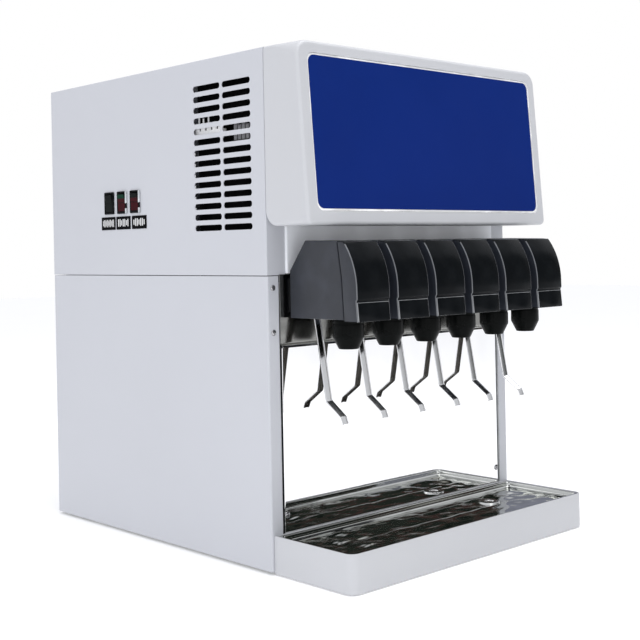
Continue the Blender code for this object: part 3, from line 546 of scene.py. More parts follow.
def add(name, mesh, finish, replaced=(), body="cabinet", at=(0, 0, 0), edge=0.0, segments=2, sharp=SHARP):
    """A piece that rides on a body. Its sharp edges are rounded by the width edge."""
    item = in_scene(name, mesh)
    item.location = ORIGIN + Vector(at)
    mesh.materials.clear()
    mesh.materials.append(MATERIALS[finish])
    mesh.shade_smooth()
    if edge:
        round_edges(item, edge, segments, sharp)
        item.modifiers.new("flat_faces", "WEIGHTED_NORMAL").keep_sharp = True
    else:
        mesh.set_sharp_from_angle(angle=math.radians(sharp))
    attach(item, body)
    if replaced:
        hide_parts(*replaced)
    return item


def dress(node, mesh, finish, body="cabinet", **how):
    """The piece that stands for a CAD node."""
    return add(node + "_skin", mesh, finish, [node], body, **how)


def refinish(mesh, choices):
    """Give the polygons that each rule picks its own finish."""
    for index, (finish, chosen) in enumerate(choices, 1):
        mesh.materials.append(MATERIALS[finish])
        for polygon in mesh.polygons:
            if chosen(polygon):
                polygon.material_index = index


def thicken(item, thickness, side):
    """Give a sheet its thickness, all to one side of it."""
    modifier = item.modifiers.new("thickness", "SOLIDIFY")
    modifier.thickness = thickness
    modifier.offset = side


def standing(node, outline, finish):
    """A piece with this outline in plan, as high as its node."""
    low, high = corners(node)
    dress(node, plate([outline], high.z - low.z, middle=(0, 0, (low.z + high.z) / 2)), finish, edge=EDGE)


def side_panels():
    """Lower side panels, folded round to the front column and to a rear flange."""
    edge, outside = COLUMN_WIDTH - HALF_WIDTH, SHEET / 2 - HALF_WIDTH
    front, rear = SHEET / 2, DEPTH - SHEET / 2
    outline = bent_strip([(edge, front), (outside, front), (outside, rear), (edge, rear)], SHEET, SIDE_FOLD_RADIUS)
    for node, side in (("left_side_panel", -1), ("right_side_panel", 1)):
        standing(node, [(-side * u, v) for u, v in outline], "white_enamel")


def air_slots(side):
    """All the air slots of one side, as solids to cut with."""
    slots = []
    for depth in SLOT_COLUMN_CENTRES:
        for row in range(SLOT_ROWS):
            outline = rounded_about((depth, SLOT_FIRST_ROW + row * SLOT_PITCH), SLOT_SIZE, SLOT_RADIUS, 5)
            slots.append(plate([outline], 0.010, FLAT_TO_SIDE, (side * HALF_WIDTH, 0, 0)))
    return merged(*slots)


def shroud():
    """Upper sides and top, folded from one sheet, with air slots and switch holes."""
    low, high = corners("upper_shroud")

    def folded(middle, direction):
        return abs(direction.z) > 0.9 or (abs(direction.y) > 0.9 and middle.z > high.z - 0.01)

    outside = block(low, high, FOLD_RADIUS, 5, folded)
    inside = block((low.x + SHEET, low.y + SHEET, low.z - 0.05), (high.x - SHEET, high.y - SHEET, high.z - SHEET),
                   FOLD_RADIUS - SHEET, 4, folded)
    cutters = [inside]
    for face, edge, top in ((0, HALF_WIDTH - UPPER_FLANGE, FRONT_OPENING_TOP),
                            (high.y, HALF_WIDTH - COLUMN_WIDTH, REAR_OPENING_TOP)):
        cutters.append(block((-edge, face - 0.01, low.z - 0.02), (edge, face + 0.01, top)))
    holes = []
    for number in SWITCHES:
        centre = middle_of("switch_housing_%d" % number)
        centre.x = low.x
        holes.append(block(centre - SWITCH_HOLE / 2, centre + SWITCH_HOLE / 2))
    cutters += [air_slots(-1), air_slots(1), merged(*holes)]
    dress("upper_shroud", carved(outside, cutters), "white_enamel", edge=EDGE)


def upper_panels():
    """Front panel above the valves, and two rear panels with their vents, service opening and inlet hole."""
    node = "upper_front_panel"
    low, high = corners(node)
    left, right, front = low.x + SHEET / 2, high.x - SHEET / 2, low.y + SHEET / 2
    path = [(left, high.y), (left, front), (right, front), (right, high.y)]
    # painted light: this panel takes the pale glowing enamel, which lightens the hood's shade on it
    standing(node, bent_strip(path, SHEET, PANEL_FOLD_RADIUS), "painted_glow_enamel")

    vent_size, vent_radius, first_row, row_pitch = (0.090, 0.007), 0.0034, 0.500, 0.020
    vents = [rounded_about((column, first_row + row * row_pitch), vent_size, vent_radius)
             for column in (-0.120, 0, 0.120) for row in range(6)]
    flange_lap = 0.0025
    inlet_low, inlet_high = corners("power_inlet")
    openings = [rounded_rectangle((-0.055, 0.040), (0.055, 0.090), 0.010),
                rounded_rectangle((inlet_low.x + flange_lap, inlet_low.z + flange_lap),
                                  (inlet_high.x - flange_lap, inlet_high.z - flange_lap), 0.001)]
    for node, holes in (("upper_rear_panel", vents), ("lower_rear_panel", openings)):
        low, high = corners(node)
        edge = rounded_rectangle((low.x, low.z), (high.x, high.z), 0.002)
        mesh = plate([edge] + holes, SHEET, FLAT_TO_FRONT, (0, DEPTH - SHEET / 2, 0))
        dress(node, mesh, "white_enamel", edge=EDGE)


def mounting_plate():
    """Valve mounting plate with its return flange."""
    node = "valve_mounting_plate"
    low, high = corners(node)
    front, bottom = low.y + SHEET / 2, low.z + SHEET / 2
    strip = bent_strip([(high.y, bottom), (front, bottom), (front, high.z)], SHEET, PANEL_FOLD_RADIUS)
    dress(node, plate([strip], high.x - low.x, FLAT_TO_SIDE), "brushed_steel", edge=EDGE)


def backsplash():
    """Polished sheet with a slight ripple that fades out at its edges, and a strip down each side that is a painted
    shadow line at the column's edge, darker on the left.
    """
    low, high = corners("backsplash")
    ripple_height, fade_width = 0.00008, 0.02
    bm = bmesh.new()
    bmesh.ops.create_grid(bm, x_segments=90, y_segments=54, size=0.5)
    for vert in bm.verts:
        x = low.x + (vert.co.x + 0.5) * (high.x - low.x)
        z = low.z + (vert.co.y + 0.5) * (high.z - low.z)
        fade = min(1, min(x - low.x, high.x - x, z - low.z, high.z - z) / fade_width)
        vert.co = (x, low.y + ripple_height * fade * noise.noise((x * 9, z * 7, 3.1)), z)
    sheet = mesh_from(bm)
    thicken(dress("backsplash", sheet, "mirror_steel"), high.y - low.y, 1 if sheet.polygons[0].normal.y > 0 else -1)

    # painted shadow: a dark strip down each column edge stands in for the shade line there, black on the left and grey
    # on the right
    column = HALF_WIDTH - COLUMN_WIDTH
    for hand, side, finish in (("left", -1, "black_satin"), ("right", 1, "painted_highlight_and_shadow_grey")):
        left, right = sorted((side * (column - 0.0032), side * (column - 0.0002)))
        painted_shadow_line = block((left, low.y - 0.0012, low.z), (right, low.y - 0.0001, high.z), 0.0004, 3)
        add("backsplash_painted_shadow_line_%s" % hand, painted_shadow_line, finish)


# Drip tray

def quarter_round(steps=6):
    """What is left of 1 after the sine and the cosine, at equal steps from 0 to 90 degrees."""
    angles = [math.pi / 2 * step / steps for step in range(steps + 1)]
    return [(1 - math.sin(angle), 1 - math.cos(angle)) for angle in angles]


def tray_ring(inset, height, rear=0.0002, side_points=90, end_points=24, corner_points=8):
    """Plan outline of the tray at an inset and a height: round corners at the front, small ones at the back."""
    low, high = corners("drip_tray_surround")
    left, right = low.x + inset, high.x - inset
    front, back = low.y + inset, high.y - inset
    radius = max(TRAY_CORNER_RADIUS - inset, 0.004)
    rounds = [arc((left + rear, back - rear), rear, 90, 180, corner_points),
              arc((left + radius, front + radius), radius, 180, 270, corner_points),
              arc((right - radius, front + radius), radius, 270, 360, corner_points),
              arc((right - rear, back - rear), rear, 0, 90, corner_points)]
    ring = []
    for here, following, count in zip(rounds, rounds[1:] + rounds[:1], (end_points, side_points) * 2):
        ring += here + [Vector(here[-1]).lerp(Vector(following[0]), step / count) for step in range(1, count)]
    return [Vector((x, y, height)) for x, y in ring]


def tray_surround():
    """Enamelled outer tray: a rolled rim, upright walls, a small bottom radius and a floor with the drain hole."""
    low, high = corners("drip_tray_surround")
    few = dict(side_points=12, end_points=4)
    foot, lip = 0.002, TRAY_WALL / 2
    rings = [tray_ring(foot * inset, low.z + foot * rise, **few) for inset, rise in quarter_round()]
    for angle in range(0, 181, 30):
        inset, drop = 1 - math.cos(math.radians(angle)), 1 - math.sin(math.radians(angle))
        rings.append(tray_ring(lip * inset, high.z - lip * 0.8 * drop, **few))
    rings.append(tray_ring(TRAY_WALL, low.z + TRAY_WALL, **few))
    drain = middle_of("drain_fitting")
    hole = turned([(0, -0.01), (0.012, -0.01), (0.012, 0.01), (0, 0.01)], 48, (drain.x, drain.y, low.z))
    dress("drip_tray_surround", carved(loft(rings), [hole]), "hood_enamel")


def pan_ripple(x, y):
    """Height of the ripples in the pan's thin floor: deeper at both ends, and streaked to the left."""
    def ramp(start, length):
        return max(0, min(1, (x - start) / length))

    broad = noise.noise((x * 17, y * 30, 0.7))
    fine = noise.noise((x * 38 + 5, y * 75, 2.3))
    streak = noise.noise((x * 11, y * 210, 5.1)) * ramp(0.03, -0.08)
    crumple = noise.noise((x * 38, y * 46, 8.2)) * (0.35 + ramp(-0.07, -0.08) + 0.7 * ramp(0.09, 0.06))
    return 0.0010 * broad + 0.0006 * fine + 0.0021 * crumple + 0.0003 * streak


def drip_pan():
    """Polished pan: flat rim, drawn walls and a floor that falls to the drain and ripples like thin sheet."""
    low, high = corners("drip_pan")
    drain = middle_of("drain_fitting").xy
    floor = low.z + PAN_SHEET
    rim_inset = TRAY_WALL + 0.0005
    wall_inset = rim_inset + PAN_RIM
    shoulder, foot, floor_edge, draft, rear = 0.0018, 0.0040, 0.0010, 0.001, 0.006
    rings = [tray_ring(rim_inset, high.z, rear), tray_ring(rim_inset + 0.0015, high.z, rear)]
    rings += [tray_ring(wall_inset - shoulder * back, high.z - shoulder * drop, rear)
              for back, drop in quarter_round()]
    rings += [tray_ring(wall_inset + draft * share, high.z + (floor - high.z) * share, rear)
              for share in (0.33, 0.66)]
    rings += [tray_ring(wall_inset + draft + foot * inset, floor + floor_edge + foot * rise, rear)
              for rise, inset in quarter_round()]
    edge = rings[-1]
    middle_y = sum(point.y for point in edge) / len(edge)
    half_x = max(point.x for point in edge)
    half_y = (max(point.y for point in edge) - min(point.y for point in edge)) / 2
    floor_rows, dish, edge_fade, calm_about_drain = 44, 0.3, 6, 0.04
    for row in range(1, floor_rows + 1):
        share = row / floor_rows
        ring = []
        for point in edge:
            spine_x = max(half_y - half_x, min(half_x - half_y, point.x))
            x, y = point.x + (spine_x - point.x) * share, point.y + (middle_y - point.y) * share
            away = math.dist((x, y), drain)
            height = floor + floor_edge * min(1, away / half_x) * (1 - dish * share * (2 - share))
            height += pan_ripple(x, y) * min(1, share * edge_fade) * min(1, away / calm_about_drain) ** 2
            ring.append(Vector((x, y, height)))
        rings.append(ring)
    thicken(dress("drip_pan", loft(rings, capped=False), "pan_steel", "drip_pan", sharp=60), PAN_SHEET, -1)


def drain_fitting():
    """Turned drain with a strainer that has two rings of small holes."""
    low, high = corners("drain_fitting")
    drain = (low + high) / 2
    top, height = high.z, high.z - low.z
    bore, neck = 0.0070, 0.0090
    profile = [(bore, top - 0.0002), (bore + 0.0006, top), (0.0148, top), (0.0158, top - 0.0004),
               (0.0160, low.z + height * 0.86), (neck, low.z + height * 0.85), (neck, low.z), (bore, low.z)]
    add("drain_fitting_ring", turned(profile, 64, (drain.x, drain.y, 0)), "lever_steel", ["drain_fitting"],
        "drip_pan", edge=0.0002)
    outlines = [arc((0, 0), bore - 0.0001, 0, 350, 35)]
    for ring_radius, count in ((0.0022, 5), (0.0048, 11)):
        for step in range(count):
            angle = 2 * math.pi * step / count
            outlines.append(arc((ring_radius * math.cos(angle), ring_radius * math.sin(angle)), 0.0007, 0, 330, 11))
    strainer = plate(outlines, 0.0005, middle=(drain.x, drain.y, top - 0.0010))
    add("drain_strainer", strainer, "lever_steel", body="drip_pan", edge=0.00008)


# Hood

def hood_solid(slope, inset):
    """The hood's outside, or its inside when inset: outlines from the leaning front to the rounded rear."""
    outer_low, outer_high = corners("hood_shell")
    half, low, top, rear = outer_high.x - inset, outer_low.z + inset, outer_high.z - HOOD_RISE - inset, outer_high.y
    lower, upper = HOOD_CORNERS[0] - inset, HOOD_CORNERS[1] - inset
    edge_radius, side_radius = HOOD_EDGE_RADIUS - inset, HOOD_SIDE_RADIUS - inset
    rear_radius = HOOD_REAR_RADIUS - inset
    rings = []
    for inwards, back in quarter_round():
        shrink, depth = edge_radius * inwards, edge_radius * back
        outline = rounded_rectangle((shrink - half, low + shrink), (half - shrink, top + HOOD_RISE - shrink),
                                    lower - shrink, 10, upper - shrink)
        rings.append([(x, outer_low.y + slope * (z - outer_low.z) + inset + depth, z) for x, z in outline])
    for short, rise in quarter_round(10):
        outline = rounded_rectangle((-half, low + rear_radius * rise), (half, top), side_radius, 10)
        rings.append([(x, rear - inset - rear_radius * short, z) for x, z in outline])
    return loft(rings)


def hood():
    """Hollow hood with a window in its leaning front, the light box's panel in the window and a film on the panel."""
    low, high = corners("hood_shell")
    lean = math.atan2(HOOD_LEAN, high.z - HOOD_RISE - low.z)
    front = Matrix.Translation((0, low.y, low.z)) @ Matrix.Rotation(math.pi / 2 - lean, 4, "X")
    panel_low, panel_high = corners("lightbox_panel")
    half = panel_high.x
    bottom = (panel_low.z - low.z + 0.0002) / math.cos(lean)
    top = (panel_high.z - low.z - 0.0002) / math.cos(lean)

    def front_sheet(margins, radius, thickness, outwards=0.0):
        """A sheet on the hood's front, smaller than the panel by these margins across and up."""
        across, up = margins
        outline = rounded_rectangle((across - half, bottom + up), (half - across, top - up), radius)
        return plate([outline], thickness, front @ Matrix.Translation((0, 0, outwards)))

    play, thickness, sunk = 0.0005, 0.003, 0.0010
    edge = HALF_WIDTH - UPPER_FLANGE
    behind = block((-edge, corners("upper_front_panel")[0].y - 0.0003, low.z - 0.01), (edge, 0.01, high.z - 0.006))
    shell = carved(hood_solid(math.tan(lean), 0),
                   [hood_solid(math.tan(lean), HOOD_WALL), behind, front_sheet((-play, -play), WINDOW_RADIUS, 0.030)])
    facing = front.inverted()
    near = 0.003

    def lines_window(polygon):
        """Whether a face is on the window's rim: near the front, and square to it."""
        centre, normal = facing @ polygon.center, facing.to_3x3() @ polygon.normal
        return (abs(centre.z) < near and abs(normal.z) < 0.2 and abs(centre.x) < half + near
                and bottom - near < centre.y < top + near)

    dress("hood_shell", shell, "hood_enamel", edge=0.0004, sharp=40)
    # painted light: the window's rim walls take the pale lamp_white finish, which hides the shade inside them
    refinish(shell, [("lamp_white", lines_window)])
    panel = front_sheet((0, 0), WINDOW_RADIUS - play, thickness, -sunk - thickness / 2)
    add("lightbox_panel_sheet", panel, "lamp_white", ["lightbox_panel"], edge=0.0004)
    film = front_sheet(FILM_MARGIN, WINDOW_RADIUS - 0.001, 0.0004, 0.00025 - sunk)
    add("lightbox_film", film, "blue_acrylic", edge=0.0001)


# Valves

def cover_face():
    """Front edge of the valve cover, from its top down to the fold above the label panel and to its foot."""
    curve = arc_through((-0.1115, 0.4320), (-0.1272, 0.4050), (-0.1338, 0.3700), 18)
    fold = arc_through((-0.1340, 0.3602), (-0.1335, 0.3585), (-0.1324, 0.3577), 3)
    return curve + fold + [(-0.1322, 0.3562), (-0.1346, COVER_BOTTOM)]


def valve_meshes():
    """Body, mount, cover and label panel of one valve, about the valve's middle."""
    body_low, body_high = corners("valve_body_1")
    width = body_high.x - body_low.x
    rear = -0.0085
    seam = [(-0.0984, 0.4330), (-0.1054, 0.3860), (-0.1088, 0.3325)]
    body = plate([seam + [(rear, seam[-1][1]), (rear, 0.3950), (-0.0390, 0.4345)]], width, FLAT_TO_SIDE)
    slot = block((-0.0070, -0.0400, 0.30), (0.0070, -0.0170, 0.3445))
    mount = block((-0.024, -0.0090, 0.340), (0.024, -0.0023, 0.385), 0.0010, 2)
    face = cover_face()
    parting_gap = 0.0011
    cover_rear = [(seam[-1][0], COVER_BOTTOM)] + seam[-2::-1]
    cover = plate([face + [(u - parting_gap, v) for u, v in cover_rear]], width, FLAT_TO_SIDE)
    (top_y, top_z), (foot_y, foot_z) = face[-2:]
    label_lean = math.atan2(top_y - foot_y, top_z - foot_z)
    place = Matrix.Translation((0, foot_y, foot_z)) @ Matrix.Rotation(math.pi / 2 - label_lean, 4, "X")
    label = plate([rounded_rectangle((-0.0288, 0.0006), (0.0288, 0.0248), 0.0012)], 0.0014,
                  place @ Matrix.Translation((0, 0, 0.0002)))
    return carved(body, [slot]), mount, rounded(cover, COVER_EDGE_RADIUS, 3), rounded(label, 0.0006, 2)


def nozzle_mesh():
    """Nozzle turned with a grip band, a cone and a rolled mouth, with the diffuser's tip inside."""
    low, high = corners("nozzle_1")
    radius, mouth = (high.x - low.x) / 2, 0.0132
    top, bottom = high.z, low.z
    cup = [(0.0100, top), (radius - 0.0008, top), (radius, top - 0.0008), (radius, top - 0.0040),
           (radius - 0.0006, top - 0.0046), (radius - 0.0006, top - 0.0066), (radius, top - 0.0072),
           (radius - 0.0002, 0.3088), (radius - 0.0010, 0.3072), (mouth + 0.0004, bottom + 0.0012),
           (mouth - 0.0002, bottom + 0.0003), (mouth - 0.0008, bottom), (mouth - 0.0014, bottom + 0.0003),
           (mouth - 0.0018, bottom + 0.0010), (radius - 0.0028, 0.3082), (radius - 0.0024, top - 0.0030),
           (0.0100, top - 0.0030)]
    tip = [(0, top - 0.0010), (0.0096, top - 0.0010), (0.0096, 0.3120), (0.0072, bottom + 0.0070),
           (0.0062, bottom + 0.0060), (0, bottom + 0.0060)]
    grips = []
    for step in range(24):
        rib = block((radius - 0.0008, -0.0005, 0.3098), (radius, 0.0005, top - 0.0080), 0.0003, 2)
        rib.transform(Matrix.Rotation(2 * math.pi * (step + 0.5) / 24, 4, "Z"))
        grips.append(rib)
    return merged(turned(cup), turned(tip), *grips)


def lever_mesh():
    """Cup lever: a strip creased along its middle, bent along the folded path, with a barrel at its pivot."""
    stations = [(*station, 1) for station in bent_line(LEVER_PATH, LEVER_BEND_RADIUS, 8)]
    half_width, thickness, crown, crease = 0.00575, 0.0018, 0.0019, 0.18
    last_point, last_normal, _ = stations.pop()
    along = (last_point - stations[-1][0]).normalized()
    corner = 0.0012
    for step in range(5):
        share = step / 4
        narrowing = 1 - 0.25 * (1 - math.sqrt(1 - share ** 2))
        stations.append((last_point - along * corner * (1 - share), last_normal, narrowing))
    front = [(-0.94, 0.08), (-0.5, 0.48), (crease - 0.06, 0.97), (crease + 0.06, 0.97), (0.6, 0.46), (0.94, 0.08)]
    section = [(share, -thickness / 2 - crown * rise) for share, rise in front]
    section += [(1.0, -thickness * 0.25), (1.0, thickness * 0.30)]
    section += [(share, thickness / 2 - crown * 0.7 * rise) for share, rise in front[::-1]]
    section += [(-1.0, thickness * 0.30), (-1.0, -thickness * 0.25)]
    rings = []
    for point, normal, narrowing in stations:
        centres = [point + normal * out for _, out in section]
        rings.append([Vector((share * half_width * narrowing, centre.x, centre.y))
                      for (share, _), centre in zip(section, centres)])
    strip = loft(rings)
    pivot = LEVER_PATH[0]
    barrel = [(0, -0.0065), (0.0026, -0.0065), (0.0030, -0.0061), (0.0030, 0.0061), (0.0026, 0.0065), (0, 0.0065)]
    return merged(strip, turned(barrel, 32, (0, *pivot), (1, 0, 0)))


def valves():
    """Six equal valves. Painted light: the covers' sides take the paler body finish, and the covers' front edges and
    the label panels' rims are painted highlights.
    """
    body, mount, cover, label = valve_meshes()
    nozzle, lever = nozzle_mesh(), lever_mesh()
    for number in range(1, VALVE_COUNT + 1):
        middle = (middle_of("valve_body_%d" % number).x, 0, 0)
        nozzle_node = "nozzle_%d" % number
        reach = (middle[0], middle_of(nozzle_node).y, 0)
        dress("valve_body_%d" % number, body, "valve_black", at=middle, edge=VALVE_EDGE_RADIUS, segments=4)
        add("valve_mount_%d" % number, mount, "valve_black", at=middle)
        dress("valve_cover_%d" % number, cover, "black_gloss", at=middle)
        add("valve_label_panel_%d" % number, label, "black_gloss", at=middle)
        dress(nozzle_node, nozzle, "nozzle_black", nozzle_node, at=reach, sharp=40)
        dress("cup_lever_%d" % number, lever, "lever_steel", "lever_%d" % number, at=middle, sharp=12)
    # painted light: the cover's sides take the paler valve_black, and its front edge bevels a painted highlight grey
    refinish(cover, [("valve_black", lambda polygon: abs(polygon.normal.x) > 0.97),
                     ("painted_highlight_edge", lambda polygon: 0.2 < abs(polygon.normal.x) < 0.97
                      and polygon.normal.y < -0.15 and polygon.center.z < 0.428)])
    # painted highlight: the label panels' rims take a pale grey
    refinish(label, [("painted_highlight_and_shadow_grey", lambda polygon: abs(polygon.normal.x) > 0.2 or polygon.normal.z > 0.3)])
    refinish(lever, [("lever_rear", lambda polygon: polygon.normal.y > 0.3)])


# Switches and labels

def switch(number, upper_finish, lower_finish, painted_glint):
    """Housing with a rounded bezel, and a rocker with a lens on each half. With painted_glint, a pale front strip
    paints a highlight on the bezel.
    """
    node, prefix, rocker = "switch_housing_%d" % number, "switch_%d_" % number, "rocker_%d" % number
    low, high = corners(node)
    centre = Vector((low.x, (low.y + high.y) / 2, (low.z + high.z) / 2))
    half_width, half_height = (high.y - low.y) / 2, (high.z - low.z) / 2
    outline = rounded_rectangle((-half_width, -half_height), (half_width, half_height), 0.0015)
    bezel = plate([outline, rounded_about((0, 0), WELL_SIZE, 0.0008, 3)], BEZEL_PROUD, FLAT_TO_SIDE,
                  (BEZEL_PROUD / 2, 0, 0))
    body_half_width, body_half_height = 0.0110, 0.01525
    body = block((BEZEL_PROUD * 0.9, -body_half_width, -body_half_height),
                 (high.x - low.x, body_half_width, body_half_height), 0.0008, 2)
    play, well_depth = 0.0001, 0.014
    well_half_width, well_half_height = WELL_SIZE[0] / 2 + play, WELL_SIZE[1] / 2 + play
    pocket = block((-0.005, -well_half_width, -well_half_height), (well_depth, well_half_width, well_half_height))
    add(prefix + "bezel", bezel, "black_satin", [node], at=centre, edge=0.0005, segments=3)
    add(prefix + "body", carved(body, [pocket]), "black_satin", at=centre)
    # painted highlight: a pale strip at the bezel's front edge
    if painted_glint:
        front = -half_width
        trim = [block((-0.0003, front - 0.0002, bottom), (BEZEL_PROUD - 0.0003, front + 0.0026, top), 0.0003, 2)
                for bottom, top in ((-0.0014, half_height), (-half_height, -0.0092))]
        add(prefix + "trim", merged(*trim), "pale_trim", at=centre)

    reach, out = 0.0130, ROCKER_PIVOT_DEPTH
    dished = arc_through((-reach, out + 0.0012), (0, out - 0.0002), (reach, out + 0.0012), 16)
    side_view = dished + [(reach, out - 0.003), (0.007, -0.003), (-0.007, -0.003), (-reach, out - 0.003)]
    stand = Matrix(((0, -1, 0, 0), (0, 0, 1, 0), (1, 0, 0, 0), (0, 0, 0, 1)))
    turn = Matrix.Rotation(-ROCKER_TILT, 4, "Y") @ stand
    pivot = centre + Vector((ROCKER_PIVOT_DEPTH, 0, 0))
    dress(rocker, plate([side_view], 0.0190, turn), "rocker_black", rocker, at=pivot, edge=0.0006, segments=3)
    for name, ends, finish in (("upper", (0.0066, 0.0126), upper_finish), ("middle", (0.0004, 0.0064), lower_finish),
                               ("lower", (-0.0126, -0.0004), lower_finish)):
        face = [(u, out + 0.0009 * abs(u) / 0.0126) for u in ends]
        lens_view = [(u, v + 0.0002) for u, v in face] + [(u, v - 0.0004) for u, v in face[::-1]]
        add("%s_%s_lens" % (rocker, name), plate([lens_view], 0.0182, turn), finish, body=rocker, at=pivot,
            edge=0.0001)


def label_plate(number, depth, count, pitch):
    """Label under a switch: a black plate with a row of plain bars of two heights."""
    card_thickness, bar_thickness, tall, short = 0.0006, 0.0002, 0.0112, 0.0075
    centre = (-HALF_WIDTH - 0.0004, depth, LABEL_HEIGHT)
    card = plate([rounded_about((0, 0), LABEL_SIZE, 0.0006)], card_thickness, FLAT_TO_SIDE)
    add("label_plate_%d" % number, card, "label_black", at=centre, edge=0.0001)
    bars = []
    for bar in range(count):
        offset = (bar - (count - 1) / 2) * pitch
        height = tall if (bar + number) % 3 else short
        outline = rounded_about((offset, 0.0002), (pitch * 0.56, height), 0.0003, 2)
        bars.append(plate([outline], bar_thickness, FLAT_TO_SIDE, (-0.6 * card_thickness, 0, 0)))
    add("label_bars_%d" % number, merged(*bars), "label_print", at=centre)


def switches():
    """A plain black rocker, a green and red one and a black and red one, each with its label below."""
    switch(1, "rocker_black", "rocker_black", painted_glint=False)
    switch(2, "lens_green", "lens_red", painted_glint=True)
    switch(3, "rocker_black", "lens_red", painted_glint=True)
    label_plate(1, depth=0.3728, count=12, pitch=0.0026)
    label_plate(2, depth=0.3320, count=7, pitch=0.0042)
    label_plate(3, depth=0.2900, count=7, pitch=0.0044)


# Fixings and fittings

def screw_mesh(radius, rise, facing):
    """Domed head with a cross recess, made looking up and then turned by facing."""
    profile = [(0, 0), (radius, 0)]
    for step in range(6):
        angle = math.pi / 2 * (1 - step / 6)
        profile.append((radius * math.sin(angle), rise * (0.15 + 0.85 * math.cos(angle))))
    profile.append((0, rise))
    wing, cut, depth = radius * 0.62, radius * 0.13, rise * 0.35
    cross = [block((-wing, -cut, depth), (wing, cut, rise * 2)), block((-cut, -wing, depth), (cut, wing, rise * 2))]
    head = carved(turned(profile, 32), cross)
    head.transform(facing)
    return head


def screws():
    """Screws on the front columns, the backsplash and the rear panels."""
    forward = Matrix.Rotation(math.pi / 2, 4, "X")
    large, small = screw_mesh(0.0040, 0.0018, forward), screw_mesh(0.0044, 0.0016, forward)
    large_rear = screw_mesh(0.0040, 0.0018, Matrix.Rotation(math.pi, 4, "Z") @ forward)
    splash = corners("backsplash")[0].y
    column = HALF_WIDTH - COLUMN_WIDTH / 2
    for hand, side in (("left", -1), ("right", 1)):
        for number, height in enumerate((0.373, 0.314), 1):
            add("column_screw_%s_%d" % (hand, number), large, "screw_steel", at=(side * column, -0.0001, height))
        add("backsplash_screw_%s" % hand, small, "screw_steel", at=(side * 0.2215, splash, 0.071))
        for name, height in (("lower", 0.050), ("middle", 0.370), ("upper", 0.410), ("top", 0.650)):
            add("rear_screw_%s_%s" % (name, hand), large_rear, "lever_steel", at=(side * 0.222, DEPTH, height))


def power_inlet():
    """Appliance inlet with a chamfered flange, a hollow body and three flat pins."""
    low, high = corners("power_inlet")
    centre = Vector(((low.x + high.x) / 2, DEPTH, (low.z + high.z) / 2))
    half_width, half_height = (high.x - low.x) / 2, (high.z - low.z) / 2
    flange_thickness, gap = 0.0029, 0.0003
    socket = [(-0.0085, -0.0145), (0.0085, -0.0145), (0.0085, 0.0105), (0.0045, 0.0145), (-0.0045, 0.0145),
              (-0.0085, 0.0105)]
    flange = plate([rounded_rectangle((-half_width, -half_height), (half_width, half_height), 0.003), socket],
                   flange_thickness, FLAT_TO_FRONT, (0, gap + flange_thickness / 2, 0))
    add("power_inlet_flange", flange, "black_satin", ["power_inlet"], at=centre, edge=0.0006, segments=3)
    wall = block((-0.0110, -0.0200, -0.0170), (0.0110, 0.0002, 0.0170), 0.0010, 2)
    hollow = plate([socket], 0.018, FLAT_TO_FRONT, (0, -0.0080, 0))
    add("power_inlet_body", carved(wall, [hollow]), "black_satin", at=centre)
    for number, (x, z) in enumerate(((-0.0050, -0.0060), (0.0050, -0.0060), (0, 0.0050)), 1):
        pin = block((x - 0.0010, -0.0168, z - 0.0024), (x + 0.0010, -0.0030, z + 0.0024), 0.0006, 3)
        add("power_inlet_pin_%d" % number, pin, "brass", at=centre)


def feet():
    """Rubber feet with a rounded sole and a recess for a fixing screw."""
    for node in ("foot_front_left", "foot_front_right", "foot_rear_left", "foot_rear_right"):
        low, high = corners(node)
        radius, bore, soft, recess = (high.x - low.x) / 2, 0.004, 0.0006, low.z + 0.0018
        profile = [(bore, high.z), (radius - soft, high.z), (radius, high.z - soft), (radius - soft, low.z + 0.0008),
                   (radius - 0.0014, low.z), (0.006, low.z), (0.0055, recess), (bore, recess)]
        middle = (*middle_of(node).xy, 0)
        add(node + "_pad", turned(profile, 48), "rubber", [node], at=middle, sharp=50)


def condenser():
    """Fin pack between two end plates, and the tubes that run through it, all near-black as painted shade inside the
    cabinet.
    """
    low, high = corners("condenser")
    end_plate, margin, pitch, half_fin = 0.0015, 0.003, 0.0030, 0.0002
    fins = []
    for fin in range(int((high.y - low.y - 2 * margin) / pitch)):
        depth = low.y + margin + (fin + 0.5) * pitch
        fins.append(block((low.x + 0.002, depth - half_fin, low.z + 0.004), (high.x, depth + half_fin, high.z - 0.004)))
    for depth in (low.y, high.y - end_plate):
        fins.append(block((low.x + 0.0005, depth, low.z), (high.x, depth + end_plate, high.z), 0.0004, 2))
    add("condenser_fins", merged(*fins), "painted_shade_black", ["condenser"])
    rows, radius, reach = 10, 0.0045, 0.0675
    tube = [(0, -reach), (radius, -reach), (radius, reach), (0, reach)]
    middle = (low + high) / 2
    tubes = []
    for row in range(rows):
        height = low.z + (row + 0.5) * (high.z - low.z) / rows
        tubes.append(turned(tube, 16, (middle.x, middle.y, height), (0, 1, 0)))
    add("condenser_tubes", merged(*tubes), "painted_shade_black")


